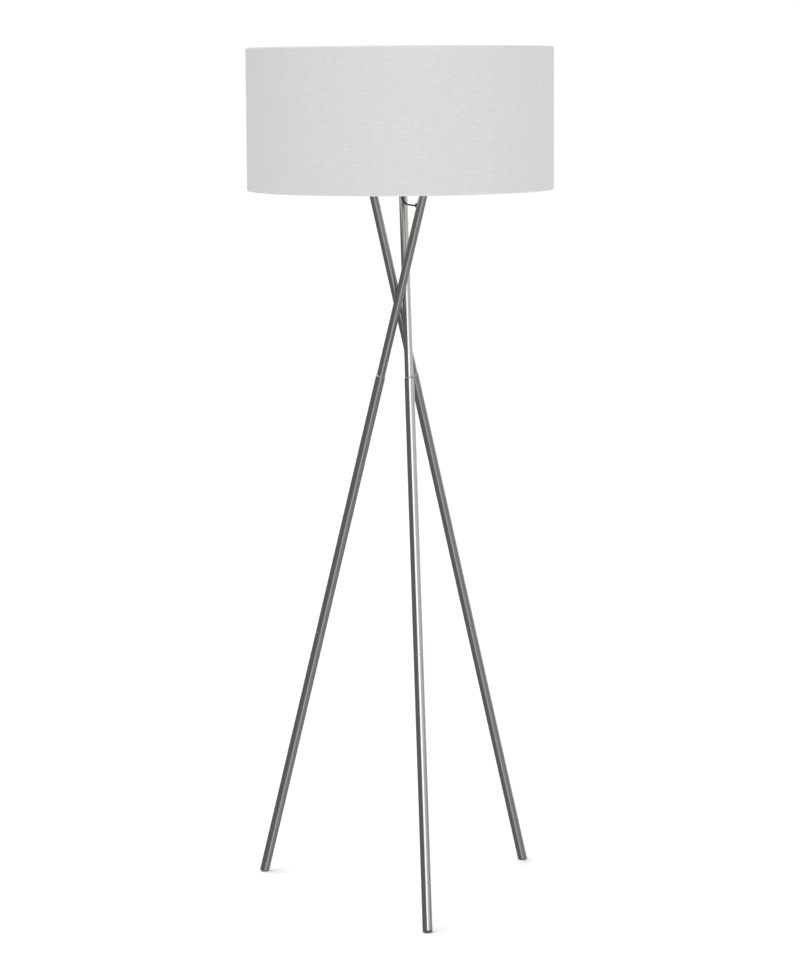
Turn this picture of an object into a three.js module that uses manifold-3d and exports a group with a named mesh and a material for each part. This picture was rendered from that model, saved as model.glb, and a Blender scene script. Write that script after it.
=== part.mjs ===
// Tripod floor lamp with a fabric drum shade. Millimetres, +Z up.
// The origin is on the lamp's axis at floor level, and +Y points to the lamp's back.
import * as THREE from "three";
import { mergeVertices } from "three/addons/utils/BufferGeometryUtils.js";
import Module from "manifold-3d";

const wasm = await Module();
wasm.setup();

// Play between pieces that touch on the real lamp.
const GAP = 0.3;

// Stand: three legs that lean past one another round a narrow waist.
const FOOT_RADIUS = 280;
const WAIST_RADIUS = { left: 12, front: 9.8, right: 12 };
const WAIST_HEIGHT = 1063;
const LEG_RUN = 279.74;
const LEAN = Math.atan2(LEG_RUN, WAIST_HEIGHT);
const LEG_AZIMUTH = { left: 157.8, front: 277.95, right: 37.8 };

// Leg tubes, measured along the leg from the floor.
const TUBE_RADIUS = 8.5;
const TOP_TUBE_RADIUS = 7.5;
const TUBE_WALL = 1;
const FOOT_CAP_START = 1.1;
const FOOT_TUBE_START = 3.2;
const LOWER_JOINT = 83.5;
const MIDDLE_JOINT = 474;
const UPPER_JOINT = 961;
const TOP_TUBE_END = 1315;

// Joiners and plugs inside the tube ends.
const SHOULDER = 1.2;
const SPIGOT_LENGTH = 22;
const JOINER_BORE = 4;
const FOOT_PLUG_LENGTH = 16;
const TOP_PLUG_LENGTH = 24;

// Waist spacers.
const SPACER_RISE = 21;
const SPACER_RADIUS = 3.5;
const STUD_RADIUS = 1.7;
const STUD_REACH = 2;
const SADDLE_REACH = 16;

// Top plate and the screws that hold the legs to it.
const PLATE_UNDERSIDE = 1276;
const PLATE_THICKNESS = 4;
const PLATE_TOP = PLATE_UNDERSIDE + PLATE_THICKNESS;
const PLATE_RADIUS = 72;
const PLATE_EDGE = 0.8;
const SCREW_RADIUS = 2;
const SCREW_HEAD_RADIUS = 4.2;
const SCREW_HEAD_HEIGHT = 2.6;
const SCREW_DEPTH = 11;
const SCREW_CROWN_RADIUS = 2.95;
const SCREW_RIM_HEIGHT = 1.4;
const SCREW_SLOT = { length: 4.4, width: 0.9, depth: 1.2 };

// Lampholder for an E27 screw bulb.
const NIPPLE_RADIUS = 5;
const NIPPLE_BORE = 3.2;
const NIPPLE_BOTTOM = 1266;
const NIPPLE_TOP = 1286;
const NUT_ACROSS_FLATS = 14;
const NUT_HEIGHT = 4;
const BUSH_FLOOR = 2;
const BUSH_RADIUS = 7.2;
const CAP_RADIUS = 20;
const CAP_WALL = 1.6;
const CAP_CORNER = 6;
const CAP_TOP = 1306;
const SLEEVE_RADIUS = 19.8;
const SLEEVE_WALL = 1.8;
const SLEEVE_TOP = 1341;
const SLEEVE_FLANGE_RADIUS = 25;
const SLEEVE_FLANGE_HEIGHT = 2.4;
const SLEEVE_CHAMFER = 1;
const SLEEVE_LIP = { reach: 2.4, thickness: 2 };
const INSERT_BOTTOM = 1307.5;
const INSERT_WALL_HEIGHT = 14;
const CONTACT_SHELL_RADIUS = 14.6;
const CONTACT_SHELL_WALL = 0.6;
const CONTACT_SHELL_BOTTOM = 1314.5;
const CONTACT_SHELL_TOP = 1337;
const CONTACT_SHELL_HOLE = 7;
const CENTRE_CONTACT = { base: 4.5, tip: 3 };
const SWITCH_BOX = { length: 18, width: 16, height: 12 };
const SWITCH_HEIGHT = 1295.5;
const SWITCH_AZIMUTH = 60;
const SPINDLE_RADIUS = 1.6;
const SPINDLE_START = 3;
const KNOB_RADIUS = 5.5;
const KNOB_START = 23;
const KNOB_LENGTH = 15;
const KNOB_BOSS_RADIUS = 4.1;
const KNOB_TAPER = 3;
const KNOB_CHAMFER = 1;
const KNOB_THICKNESS = 6;
const KNOB_SKIN = 4;

// Shade: fabric laminated on a stiff liner, with a wire ring in each hem.
const SHADE_RADIUS = 270;
const SHADE_BOTTOM = 1259;
const SHADE_TOP = 1509;
const FABRIC = 0.7;
const LINER = 0.8;
const HEM_HEIGHT = 5;
const RING_WIRE = 2.2;
const RING_RADIUS = SHADE_RADIUS - FABRIC - LINER - 2 * GAP - RING_WIRE - GAP;
const FITTER_BORE = 20.3;
const FITTER_RADIUS = 27;
const FITTER_THICKNESS = 2;
const FITTER_BOTTOM = CAP_TOP + GAP + SLEEVE_FLANGE_HEIGHT + GAP;
const ARM_WIRE = 2;
const ARM_BEND_RADIUS = 62;
const ARM_BEND_REACH = 14;
const ARM_AZIMUTHS = [90, 210, 330];
const SHADE_RING_RADIUS = 27.5;
const SHADE_RING_HEIGHT = 6.5;
const SHADE_RING_LUGS = 12;
const SHADE_RING_FLANGE = { height: 2, chamfer: 1, width: 3 };
const SHADE_RING_LUG = { reach: 3.4, width: 3, height: 5.5, inset: 2.2, lift: 0.4 };

// Bulb, sitting on the centre contact.
const BULB_BOTTOM = 1317.2;
const BULB_CAP_RADIUS = 13.2;
const BULB_CAP_HEIGHT = 24;
const BULB_GLOBE_RADIUS = 30;
const BULB_LENGTH = 106;
const BULB_GLASS = 1;
const BULB_BASE = { tip: 4.5, radius: 9, taper: 3, height: 4.5 };
const BULB_CAP_WALL = 0.6;
const BULB_CAP_TAPER = 3;
const BULB_NECK_DEPTH = 8;
const BULB_FLARE_ANGLE = -32;

// Flex inside the lamp.
const FLEX_RADIUS = 1.5;
const FLEX_HOLE_HEIGHT = 1232.5;
const GROMMET_RADIUS = 4.2;
const GROMMET_NECK = 3;
const GROMMET_BORE = 2.1;
const GROMMET_REACH = { inside: 2.9, outside: 2.6 };
const OUTLET_AT = 40;
const OUTLET_AZIMUTH = 75;
const OUTLET_RADIUS = 4.6;
const OUTLET_BORE = 2.6;
const OUTLET_REACH = { inside: 1.5, outside: 3 };
const OUTLET_FLANGE_RADIUS = 6;

// Facets round each kind of round piece.
const TUBE_SIDES = 16;
const SMALL_SIDES = 12;
const HOLDER_SIDES = 24;
const RING_SIDES = 36;
const SHADE_SIDES = 60;
const WIRE_SIDES = 8;

// How far a cutting tool runs past the face that it leaves.
const OVERCUT = 1;

// Side of the block that stands for everything above or below a level plane.
const HALF_SPACE = 400;

const radians = THREE.MathUtils.degToRad;

const finish = {
  brushedSteel: { color: 0x9c9a96, roughness: 0.35, metalness: 1 },
  darkSteel: { color: 0x55534f, roughness: 0.45, metalness: 1 },
  zinc: { color: 0xb8b8ba, roughness: 0.3, metalness: 1 },
  brass: { color: 0xb89550, roughness: 0.3, metalness: 1 },
  blackPlastic: { color: 0x1c1c1d, roughness: 0.5, metalness: 0 },
  ceramic: { color: 0xe8e6df, roughness: 0.4, metalness: 0 },
  rubber: { color: 0x1a1a1a, roughness: 0.9, metalness: 0 },
  flex: { color: 0x161616, roughness: 0.55, metalness: 0 },
  opalGlass: { color: 0xf4f3ee, roughness: 0.25, metalness: 0 },
  whiteWire: { color: 0xe4e4e2, roughness: 0.4, metalness: 0.1 },
  liner: { color: 0xefefec, roughness: 0.5, metalness: 0 },
  fabric: { color: 0xd6d6d6, roughness: 0.95, metalness: 0 },
};

const lamp = new THREE.Group();

// Adds one named piece to a group.
function addPiece(group, name, geometry, look) {
  const mesh = new THREE.Mesh(geometry, new THREE.MeshStandardMaterial(look));
  mesh.name = name;
  group.add(mesh);
  return mesh;
}

// Turns a closed geometry into a manifold solid.
function toSolid(geometry) {
  const bare = geometry.clone();
  bare.deleteAttribute("normal");
  bare.deleteAttribute("uv");
  const merged = mergeVertices(bare, 1e-4);
  return new wasm.Manifold(
    new wasm.Mesh({
      numProp: 3,
      vertProperties: new Float32Array(merged.attributes.position.array),
      triVerts: new Uint32Array(merged.index.array),
    }),
  );
}

// Turns a manifold solid back into a geometry.
function toGeometry(solid) {
  const mesh = solid.getMesh();
  const geometry = new THREE.BufferGeometry();
  geometry.setAttribute("position", new THREE.BufferAttribute(mesh.vertProperties, 3));
  geometry.setIndex(new THREE.BufferAttribute(mesh.triVerts, 1));
  const flat = geometry.toNonIndexed();
  flat.computeVertexNormals();
  return flat;
}

// Cuts every tool out of a geometry.
function cut(geometry, ...tools) {
  const start = toSolid(geometry);
  return toGeometry(tools.reduce((solid, tool) => solid.subtract(toSolid(tool)), start));
}

// Joins geometries into one body.
function join(first, ...others) {
  const start = toSolid(first);
  return toGeometry(others.reduce((solid, other) => solid.add(toSolid(other)), start));
}

// Revolves an outline of [radius, height] pairs about Z; the outline runs anticlockwise.
function revolve(outline, sides = TUBE_SIDES) {
  const points = outline.map(([r, z]) => new THREE.Vector2(r, z));
  return new THREE.LatheGeometry(points, sides).rotateX(Math.PI / 2);
}

// A solid round bar along Z from one height to another.
function bar(radius, from, to, sides = SMALL_SIDES) {
  const geometry = new THREE.CylinderGeometry(radius, radius, to - from, sides);
  return geometry.rotateX(Math.PI / 2).translate(0, 0, (from + to) / 2);
}

// A round tube along Z with square ends.
function pipe(outer, inner, from, to, sides = TUBE_SIDES) {
  return revolve([[inner, from], [outer, from], [outer, to], [inner, to], [inner, from]], sides);
}

// A round bar between two points.
function barBetween(start, end, radius, sides = SMALL_SIDES) {
  const run = end.clone().sub(start);
  const turn = new THREE.Quaternion().setFromUnitVectors(
    new THREE.Vector3(0, 0, 1),
    run.clone().normalize(),
  );
  const geometry = bar(radius, 0, run.length(), sides).applyQuaternion(turn);
  return geometry.translate(start.x, start.y, start.z);
}

// A round cord or wire swept along a curve.
function sweep(curve, radius, steps, sides = WIRE_SIDES) {
  const section = new THREE.Shape();
  section.absarc(0, 0, radius, 0, 2 * Math.PI, false);
  return new THREE.ExtrudeGeometry(section, {
    steps,
    curveSegments: sides / 2,
    extrudePath: curve,
  });
}

// A unit vector that points level at an azimuth.
function levelDirection(azimuth) {
  return new THREE.Vector3(Math.cos(radians(azimuth)), Math.sin(radians(azimuth)), 0);
}

// Brings a geometry from the lamp's frame into a leg's frame.
function intoLeg(leg, geometry) {
  return geometry.applyMatrix4(leg.matrixWorld.clone().invert());
}

// The point where a leg's centre line passes a height.
function legPointAt(leg, height) {
  return new THREE.Vector3(0, 0, height / Math.cos(LEAN)).applyMatrix4(leg.matrixWorld);
}

// A leg's group: its Z runs up the leg, its Y points level, towards the lamp's axis.
function makeLeg(azimuth, waistRadius) {
  const leg = new THREE.Group();
  const heading = radians(azimuth) + Math.PI - Math.asin(waistRadius / FOOT_RADIUS);
  leg.position.copy(levelDirection(azimuth).multiplyScalar(FOOT_RADIUS));
  leg.rotation.set(0, LEAN, heading, "ZYX");
  leg.updateMatrixWorld(true);
  lamp.add(leg);
  return leg;
}

// A block below the level plane that crosses a leg's centre line at `along`, or above it.
function levelBlock(along, side) {
  const block = new THREE.BoxGeometry(HALF_SPACE, HALF_SPACE, HALF_SPACE);
  return block.translate(0, 0, (side * HALF_SPACE) / 2).rotateY(-LEAN).translate(0, 0, along);
}

// A hollow joiner: a spigot in each tube and a shoulder that shows between them.
function joinerGeometry(at, upperTube) {
  const lowerSpigot = TUBE_RADIUS - TUBE_WALL - GAP;
  const upperSpigot = upperTube - TUBE_WALL - GAP;
  const low = at - SHOULDER / 2;
  const high = at + SHOULDER / 2;
  return revolve([
    [JOINER_BORE, low - SPIGOT_LENGTH],
    [lowerSpigot, low - SPIGOT_LENGTH],
    [lowerSpigot, low],
    [TUBE_RADIUS, low],
    [upperTube, high],
    [upperSpigot, high],
    [upperSpigot, high + SPIGOT_LENGTH],
    [JOINER_BORE, high + SPIGOT_LENGTH],
    [JOINER_BORE, low - SPIGOT_LENGTH],
  ]);
}

// The rubber foot: a plug in the leg's end and a square cap, worn level where it stands.
function footGeometry() {
  const capTop = FOOT_TUBE_START - GAP;
  const plug = TUBE_RADIUS - TUBE_WALL - GAP;
  const blank = revolve([
    [0, FOOT_CAP_START],
    [TUBE_RADIUS, FOOT_CAP_START],
    [TUBE_RADIUS, capTop],
    [plug, capTop],
    [plug, capTop + FOOT_PLUG_LENGTH],
    [0, capTop + FOOT_PLUG_LENGTH],
  ]);
  return cut(blank, levelBlock(0, -1));
}

// The metal plug in a leg's upper end, cut level under the plate and drilled for its screw.
function topPlugGeometry() {
  const top = (PLATE_UNDERSIDE - GAP) / Math.cos(LEAN);
  const shoulder = TOP_TUBE_END + GAP;
  const spigot = TOP_TUBE_RADIUS - TUBE_WALL - GAP;
  const blank = revolve([
    [0, shoulder - TOP_PLUG_LENGTH],
    [spigot, shoulder - TOP_PLUG_LENGTH],
    [spigot, shoulder],
    [TOP_TUBE_RADIUS, shoulder],
    [TOP_TUBE_RADIUS, top + TOP_TUBE_RADIUS],
    [0, top + TOP_TUBE_RADIUS],
  ]);
  const drill = bar(SCREW_RADIUS + GAP, -SCREW_DEPTH - GAP, TOP_TUBE_RADIUS);
  return cut(blank, levelBlock(top, 1), drill.rotateY(-LEAN).translate(0, 0, top));
}

// A pan-head screw with a cross recess; its head's underside is at height zero.
function screwGeometry() {
  const length = PLATE_THICKNESS + GAP + SCREW_DEPTH;
  const pan = revolve([
    [0, -length],
    [SCREW_RADIUS, -length],
    [SCREW_RADIUS, 0],
    [SCREW_HEAD_RADIUS, 0],
    [SCREW_HEAD_RADIUS, SCREW_RIM_HEIGHT],
    [SCREW_CROWN_RADIUS, SCREW_HEAD_HEIGHT],
    [0, SCREW_HEAD_HEIGHT],
  ], SMALL_SIDES);
  const blades = [0, Math.PI / 2].map((turn) => {
    const blade = new THREE.BoxGeometry(SCREW_SLOT.length, SCREW_SLOT.width, 2 * SCREW_SLOT.depth);
    return blade.rotateZ(turn).translate(0, 0, SCREW_HEAD_HEIGHT);
  });
  return cut(pan, ...blades);
}

const legs = {};
for (const [side, azimuth] of Object.entries(LEG_AZIMUTH)) {
  legs[side] = makeLeg(azimuth, WAIST_RADIUS[side]);
}

// ---- Waist spacers: a collar between two legs and a stud through each near wall.
const spacerHeight = WAIST_HEIGHT + SPACER_RISE;
const topTubeDrills = { left: [], front: [], right: [] };
const spacerPairs = [["left", "front"], ["front", "right"], ["right", "left"]];
for (const [sideA, sideB] of spacerPairs) {
  const a = legPointAt(legs[sideA], spacerHeight);
  const b = legPointAt(legs[sideB], spacerHeight);
  const across = b.clone().sub(a).normalize();
  const envelopes = [sideA, sideB].map((side) => {
    const low = legPointAt(legs[side], spacerHeight - SADDLE_REACH);
    const high = legPointAt(legs[side], spacerHeight + SADDLE_REACH);
    return barBetween(low, high, TOP_TUBE_RADIUS + GAP, TUBE_SIDES);
  });
  const collar = cut(barBetween(a, b, SPACER_RADIUS), ...envelopes);
  const inside = TOP_TUBE_RADIUS - TUBE_WALL - STUD_REACH;
  const studStart = a.clone().addScaledVector(across, inside);
  const studEnd = b.clone().addScaledVector(across, -inside);
  const stud = barBetween(studStart, studEnd, STUD_RADIUS, TUBE_SIDES);
  addPiece(lamp, `waist_spacer_${sideA}_${sideB}`, join(collar, stud), finish.darkSteel);
  const nearHalf = a.distanceTo(b) / 2;
  for (const [side, from, sign] of [[sideA, a, 1], [sideB, b, -1]]) {
    const to = from.clone().addScaledVector(across, sign * nearHalf);
    topTubeDrills[side].push(barBetween(from, to, STUD_RADIUS + GAP, TUBE_SIDES));
  }
}

// ---- Flex grommet: level, from inside the left leg towards the lamp's axis.
const flexHole = legPointAt(legs.left, FLEX_HOLE_HEIGHT);
const towardsAxis = new THREE.Vector3(-flexHole.x, -flexHole.y, 0).normalize();
const alongGrommet = (radius) => flexHole.clone().addScaledVector(towardsAxis, radius);
const grommetStart = alongGrommet(TOP_TUBE_RADIUS - GROMMET_REACH.inside);
const grommetEnd = alongGrommet(TOP_TUBE_RADIUS + GROMMET_REACH.outside);
const neckHole = barBetween(flexHole, grommetEnd, GROMMET_NECK + GAP);
topTubeDrills.left.push(neckHole);

function grommetGeometry() {
  const low = legPointAt(legs.left, FLEX_HOLE_HEIGHT - SADDLE_REACH);
  const high = legPointAt(legs.left, FLEX_HOLE_HEIGHT + SADDLE_REACH);
  const outside = barBetween(low, high, TOP_TUBE_RADIUS + GAP, TUBE_SIDES);
  const inside = barBetween(low, high, TOP_TUBE_RADIUS - TUBE_WALL - GAP, TUBE_SIDES);
  const neck = barBetween(flexHole, grommetEnd, GROMMET_NECK);
  const wall = cut(outside, inside, neck);
  const boreEnd = alongGrommet(TOP_TUBE_RADIUS + GROMMET_REACH.outside + OVERCUT);
  const bore = barBetween(flexHole, boreEnd, GROMMET_BORE);
  return cut(barBetween(grommetStart, grommetEnd, GROMMET_RADIUS), wall, bore);
}
addPiece(lamp, "flex_grommet", grommetGeometry(), finish.rubber);

// ---- Mains outlet bush: a flanged ring in the back of the left leg's foot tube.
const outlet = new THREE.Vector3(0, 0, OUTLET_AT).applyMatrix4(legs.left.matrixWorld);
const outwards = levelDirection(OUTLET_AZIMUTH);
const fromOutlet = (radius) => outlet.clone().addScaledVector(outwards, radius);
const outletEnd = fromOutlet(TUBE_RADIUS + OUTLET_REACH.outside);
const outletHole = barBetween(outlet, outletEnd, OUTLET_RADIUS + GAP);

function outletBushGeometry() {
  const legPoints = [OUTLET_AT - SADDLE_REACH, OUTLET_AT + SADDLE_REACH].map(
    (along) => new THREE.Vector3(0, 0, along).applyMatrix4(legs.left.matrixWorld),
  );
  const tube = barBetween(...legPoints, TUBE_RADIUS + GAP, TUBE_SIDES);
  const flange = cut(barBetween(outlet, outletEnd, OUTLET_FLANGE_RADIUS, TUBE_SIDES), tube);
  const start = fromOutlet(TUBE_RADIUS - TUBE_WALL - OUTLET_REACH.inside);
  const body = barBetween(start, outletEnd, OUTLET_RADIUS, TUBE_SIDES);
  const boreEnd = fromOutlet(TUBE_RADIUS + OUTLET_REACH.outside + OVERCUT);
  return cut(join(body, flange), barBetween(outlet, boreEnd, OUTLET_BORE));
}
addPiece(lamp, "mains_outlet_bush", outletBushGeometry(), finish.rubber);

// ---- Legs.
const tubeInner = TUBE_RADIUS - TUBE_WALL;
const half = SHOULDER / 2 + GAP;
const plainTubes = {
  foot_tube: [FOOT_TUBE_START, LOWER_JOINT - half],
  lower_tube: [LOWER_JOINT + half, MIDDLE_JOINT - half],
  middle_tube: [MIDDLE_JOINT + half, UPPER_JOINT - half],
};
const plateScrewHoles = [];
for (const [side, leg] of Object.entries(legs)) {
  for (const [part, [from, to]] of Object.entries(plainTubes)) {
    const plain = pipe(TUBE_RADIUS, tubeInner, from, to);
    const holed = side === "left" && part === "foot_tube";
    const tube = holed ? cut(plain, intoLeg(leg, outletHole)) : plain;
    addPiece(leg, `leg_${side}_${part}`, tube, finish.brushedSteel);
  }
  const slim = pipe(TOP_TUBE_RADIUS, TOP_TUBE_RADIUS - TUBE_WALL, UPPER_JOINT + half, TOP_TUBE_END);
  const drills = topTubeDrills[side].map((drill) => intoLeg(leg, drill));
  addPiece(leg, `leg_${side}_top_tube`, cut(slim, ...drills), finish.brushedSteel);

  const joiners = {
    lower_joiner: joinerGeometry(LOWER_JOINT, TUBE_RADIUS),
    middle_joiner: joinerGeometry(MIDDLE_JOINT, TUBE_RADIUS),
    upper_joiner: joinerGeometry(UPPER_JOINT, TOP_TUBE_RADIUS),
  };
  for (const [part, joiner] of Object.entries(joiners)) {
    addPiece(leg, `leg_${side}_${part}`, joiner, finish.darkSteel);
  }
  addPiece(leg, `leg_${side}_rubber_foot`, footGeometry(), finish.rubber);
  addPiece(leg, `leg_${side}_top_plug`, topPlugGeometry(), finish.darkSteel);

  const screwAt = legPointAt(leg, PLATE_UNDERSIDE - GAP);
  const screw = addPiece(lamp, `leg_${side}_plug_screw`, screwGeometry(), finish.zinc);
  screw.position.set(screwAt.x, screwAt.y, PLATE_TOP + GAP);
  const hole = bar(SCREW_RADIUS + GAP, PLATE_UNDERSIDE - OVERCUT, PLATE_TOP + OVERCUT);
  plateScrewHoles.push(hole.translate(screwAt.x, screwAt.y, 0));
}

// ---- Top plate with the nipple that carries the lampholder.
const platePlan = revolve([
  [0, PLATE_UNDERSIDE],
  [PLATE_RADIUS - PLATE_EDGE, PLATE_UNDERSIDE],
  [PLATE_RADIUS, PLATE_UNDERSIDE + PLATE_EDGE],
  [PLATE_RADIUS, PLATE_TOP - PLATE_EDGE],
  [PLATE_RADIUS - PLATE_EDGE, PLATE_TOP],
  [0, PLATE_TOP],
], RING_SIDES);
const nippleHole = bar(NIPPLE_RADIUS + GAP, PLATE_UNDERSIDE - OVERCUT, PLATE_TOP + OVERCUT, TUBE_SIDES);
addPiece(lamp, "top_plate", cut(platePlan, nippleHole, ...plateScrewHoles), finish.brushedSteel);
addPiece(lamp, "entry_nipple", pipe(NIPPLE_RADIUS, NIPPLE_BORE, NIPPLE_BOTTOM, NIPPLE_TOP), finish.zinc);

const nutTop = PLATE_UNDERSIDE - GAP;
const hexagon = bar(NUT_ACROSS_FLATS / Math.sqrt(3), nutTop - NUT_HEIGHT, nutTop, 6);
const nutBottom = nutTop - NUT_HEIGHT;
const nutBore = bar(NIPPLE_RADIUS + GAP, nutBottom - OVERCUT, nutTop + OVERCUT, TUBE_SIDES);
addPiece(lamp, "nipple_nut", cut(hexagon, nutBore), finish.zinc);

const bushTop = nutBottom - GAP;
const bushFloor = NIPPLE_BOTTOM - GAP;
addPiece(lamp, "nipple_bush", revolve([
  [FLEX_RADIUS + GAP, bushFloor - BUSH_FLOOR],
  [NIPPLE_RADIUS, bushFloor - BUSH_FLOOR],
  [BUSH_RADIUS, bushFloor],
  [BUSH_RADIUS, bushTop],
  [NIPPLE_RADIUS + GAP, bushTop],
  [NIPPLE_RADIUS + GAP, bushFloor],
  [FLEX_RADIUS + GAP, bushFloor],
  [FLEX_RADIUS + GAP, bushFloor - BUSH_FLOOR],
]), finish.blackPlastic);

// ---- Lampholder.
const capBottom = PLATE_TOP + GAP;
const capShell = revolve([
  [NIPPLE_RADIUS + GAP, capBottom],
  [CAP_RADIUS - CAP_CORNER, capBottom],
  [CAP_RADIUS, capBottom + CAP_CORNER],
  [CAP_RADIUS, CAP_TOP],
  [CAP_RADIUS - CAP_WALL, CAP_TOP],
  [CAP_RADIUS - CAP_WALL, capBottom + CAP_CORNER],
  [CAP_RADIUS - CAP_CORNER - CAP_WALL / 2, capBottom + CAP_WALL],
  [NIPPLE_RADIUS + GAP, capBottom + CAP_WALL],
  [NIPPLE_RADIUS + GAP, capBottom],
], HOLDER_SIDES);
const switchAxis = levelDirection(SWITCH_AZIMUTH);
const alongSwitch = (radius) => switchAxis.clone().multiplyScalar(radius).setZ(SWITCH_HEIGHT);
const spindleHole = barBetween(alongSwitch(CAP_RADIUS / 2), alongSwitch(KNOB_START), SPINDLE_RADIUS + GAP);
addPiece(lamp, "lampholder_cap", cut(capShell, spindleHole), finish.blackPlastic);

const flangeTop = CAP_TOP + GAP + SLEEVE_FLANGE_HEIGHT;
const sleeveInner = SLEEVE_RADIUS - SLEEVE_WALL;
addPiece(lamp, "lampholder_sleeve", revolve([
  [sleeveInner, CAP_TOP + GAP],
  [SLEEVE_FLANGE_RADIUS, CAP_TOP + GAP],
  [SLEEVE_FLANGE_RADIUS, flangeTop],
  [SLEEVE_RADIUS, flangeTop],
  [SLEEVE_RADIUS, SLEEVE_TOP - SLEEVE_CHAMFER],
  [SLEEVE_RADIUS - SLEEVE_CHAMFER, SLEEVE_TOP],
  [sleeveInner - SLEEVE_LIP.reach, SLEEVE_TOP],
  [sleeveInner - SLEEVE_LIP.reach, SLEEVE_TOP - SLEEVE_LIP.thickness],
  [sleeveInner, SLEEVE_TOP - SLEEVE_LIP.thickness],
  [sleeveInner, CAP_TOP + GAP],
], HOLDER_SIDES), finish.blackPlastic);

const insertRadius = sleeveInner - GAP;
const insertFloor = CONTACT_SHELL_BOTTOM - GAP;
const contactOuter = CONTACT_SHELL_RADIUS + CONTACT_SHELL_WALL;
addPiece(lamp, "lampholder_insert", revolve([
  [0, INSERT_BOTTOM],
  [insertRadius, INSERT_BOTTOM],
  [insertRadius, insertFloor + INSERT_WALL_HEIGHT],
  [contactOuter + GAP, insertFloor + INSERT_WALL_HEIGHT],
  [contactOuter + GAP, insertFloor],
  [0, insertFloor],
], TUBE_SIDES), finish.ceramic);
addPiece(lamp, "screw_contact", revolve([
  [CONTACT_SHELL_HOLE, CONTACT_SHELL_BOTTOM],
  [contactOuter, CONTACT_SHELL_BOTTOM],
  [contactOuter, CONTACT_SHELL_TOP],
  [CONTACT_SHELL_RADIUS, CONTACT_SHELL_TOP],
  [CONTACT_SHELL_RADIUS, CONTACT_SHELL_BOTTOM + CONTACT_SHELL_WALL],
  [CONTACT_SHELL_HOLE, CONTACT_SHELL_BOTTOM + CONTACT_SHELL_WALL],
  [CONTACT_SHELL_HOLE, CONTACT_SHELL_BOTTOM],
]), finish.brass);
const contactTop = BULB_BOTTOM - GAP;
addPiece(lamp, "centre_contact", revolve([
  [0, CONTACT_SHELL_BOTTOM],
  [CENTRE_CONTACT.base, CONTACT_SHELL_BOTTOM],
  [CENTRE_CONTACT.tip, contactTop],
  [0, contactTop],
], SMALL_SIDES), finish.brass);

// ---- Rotary switch in the cap's side.
const switchBlock = new THREE.BoxGeometry(SWITCH_BOX.length, SWITCH_BOX.width, SWITCH_BOX.height);
switchBlock.rotateZ(radians(SWITCH_AZIMUTH)).translate(0, 0, SWITCH_HEIGHT);
const pocketEnd = alongSwitch(SWITCH_BOX.length);
const spindlePocket = barBetween(alongSwitch(SPINDLE_START), pocketEnd, SPINDLE_RADIUS + GAP);
addPiece(lamp, "switch_body", cut(switchBlock, spindlePocket), finish.blackPlastic);
const spindleEnd = KNOB_START + KNOB_LENGTH - KNOB_SKIN;
const spindle = barBetween(alongSwitch(SPINDLE_START + GAP), alongSwitch(spindleEnd), SPINDLE_RADIUS);
addPiece(lamp, "switch_spindle", spindle, finish.zinc);

// The knob: a round boss that opens into a flat key.
function knobGeometry() {
  const end = KNOB_START + KNOB_LENGTH;
  const waist = (KNOB_START + end) / 2;
  const blank = revolve([
    [0, KNOB_START],
    [KNOB_BOSS_RADIUS, KNOB_START],
    [KNOB_BOSS_RADIUS, waist - KNOB_TAPER],
    [KNOB_RADIUS, waist],
    [KNOB_RADIUS, end - KNOB_CHAMFER],
    [KNOB_RADIUS - KNOB_CHAMFER, end],
    [0, end],
  ]);
  const socket = bar(SPINDLE_RADIUS + GAP, KNOB_START - OVERCUT, spindleEnd + GAP);
  const flats = [1, -1].map((sign) => {
    const block = new THREE.BoxGeometry(KNOB_RADIUS, 4 * KNOB_RADIUS, KNOB_LENGTH);
    const offset = (KNOB_THICKNESS + KNOB_RADIUS) / 2;
    return block.translate(sign * offset, 0, waist + KNOB_LENGTH / 2);
  });
  const knob = cut(blank, socket, ...flats);
  knob.rotateY(Math.PI / 2).rotateZ(radians(SWITCH_AZIMUTH));
  return knob.translate(0, 0, SWITCH_HEIGHT);
}
addPiece(lamp, "switch_knob", knobGeometry(), finish.blackPlastic);

// ---- Shade ring: screws down the sleeve onto the spider, with finger lugs round its rim.
function shadeRingGeometry() {
  const bottom = FITTER_BOTTOM + FITTER_THICKNESS + GAP;
  const top = bottom + SHADE_RING_HEIGHT;
  const bore = SLEEVE_RADIUS + GAP;
  const waist = SHADE_RING_RADIUS - SHADE_RING_FLANGE.width;
  const flangeTop = bottom + SHADE_RING_FLANGE.height;
  const ring = revolve([
    [bore, bottom],
    [SHADE_RING_RADIUS, bottom],
    [SHADE_RING_RADIUS, flangeTop],
    [waist, flangeTop + SHADE_RING_FLANGE.chamfer],
    [waist, top],
    [bore, top],
    [bore, bottom],
  ], RING_SIDES);
  const { reach, width, height, inset, lift } = SHADE_RING_LUG;
  const lugs = Array.from({ length: SHADE_RING_LUGS }, (_, i) => {
    const lug = new THREE.BoxGeometry(reach, width, height);
    lug.translate(SHADE_RING_RADIUS - inset, 0, bottom + lift + height / 2);
    return lug.rotateZ((2 * Math.PI * i) / SHADE_RING_LUGS);
  });
  return join(ring, ...lugs);
}
addPiece(lamp, "shade_ring", shadeRingGeometry(), finish.blackPlastic);

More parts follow.
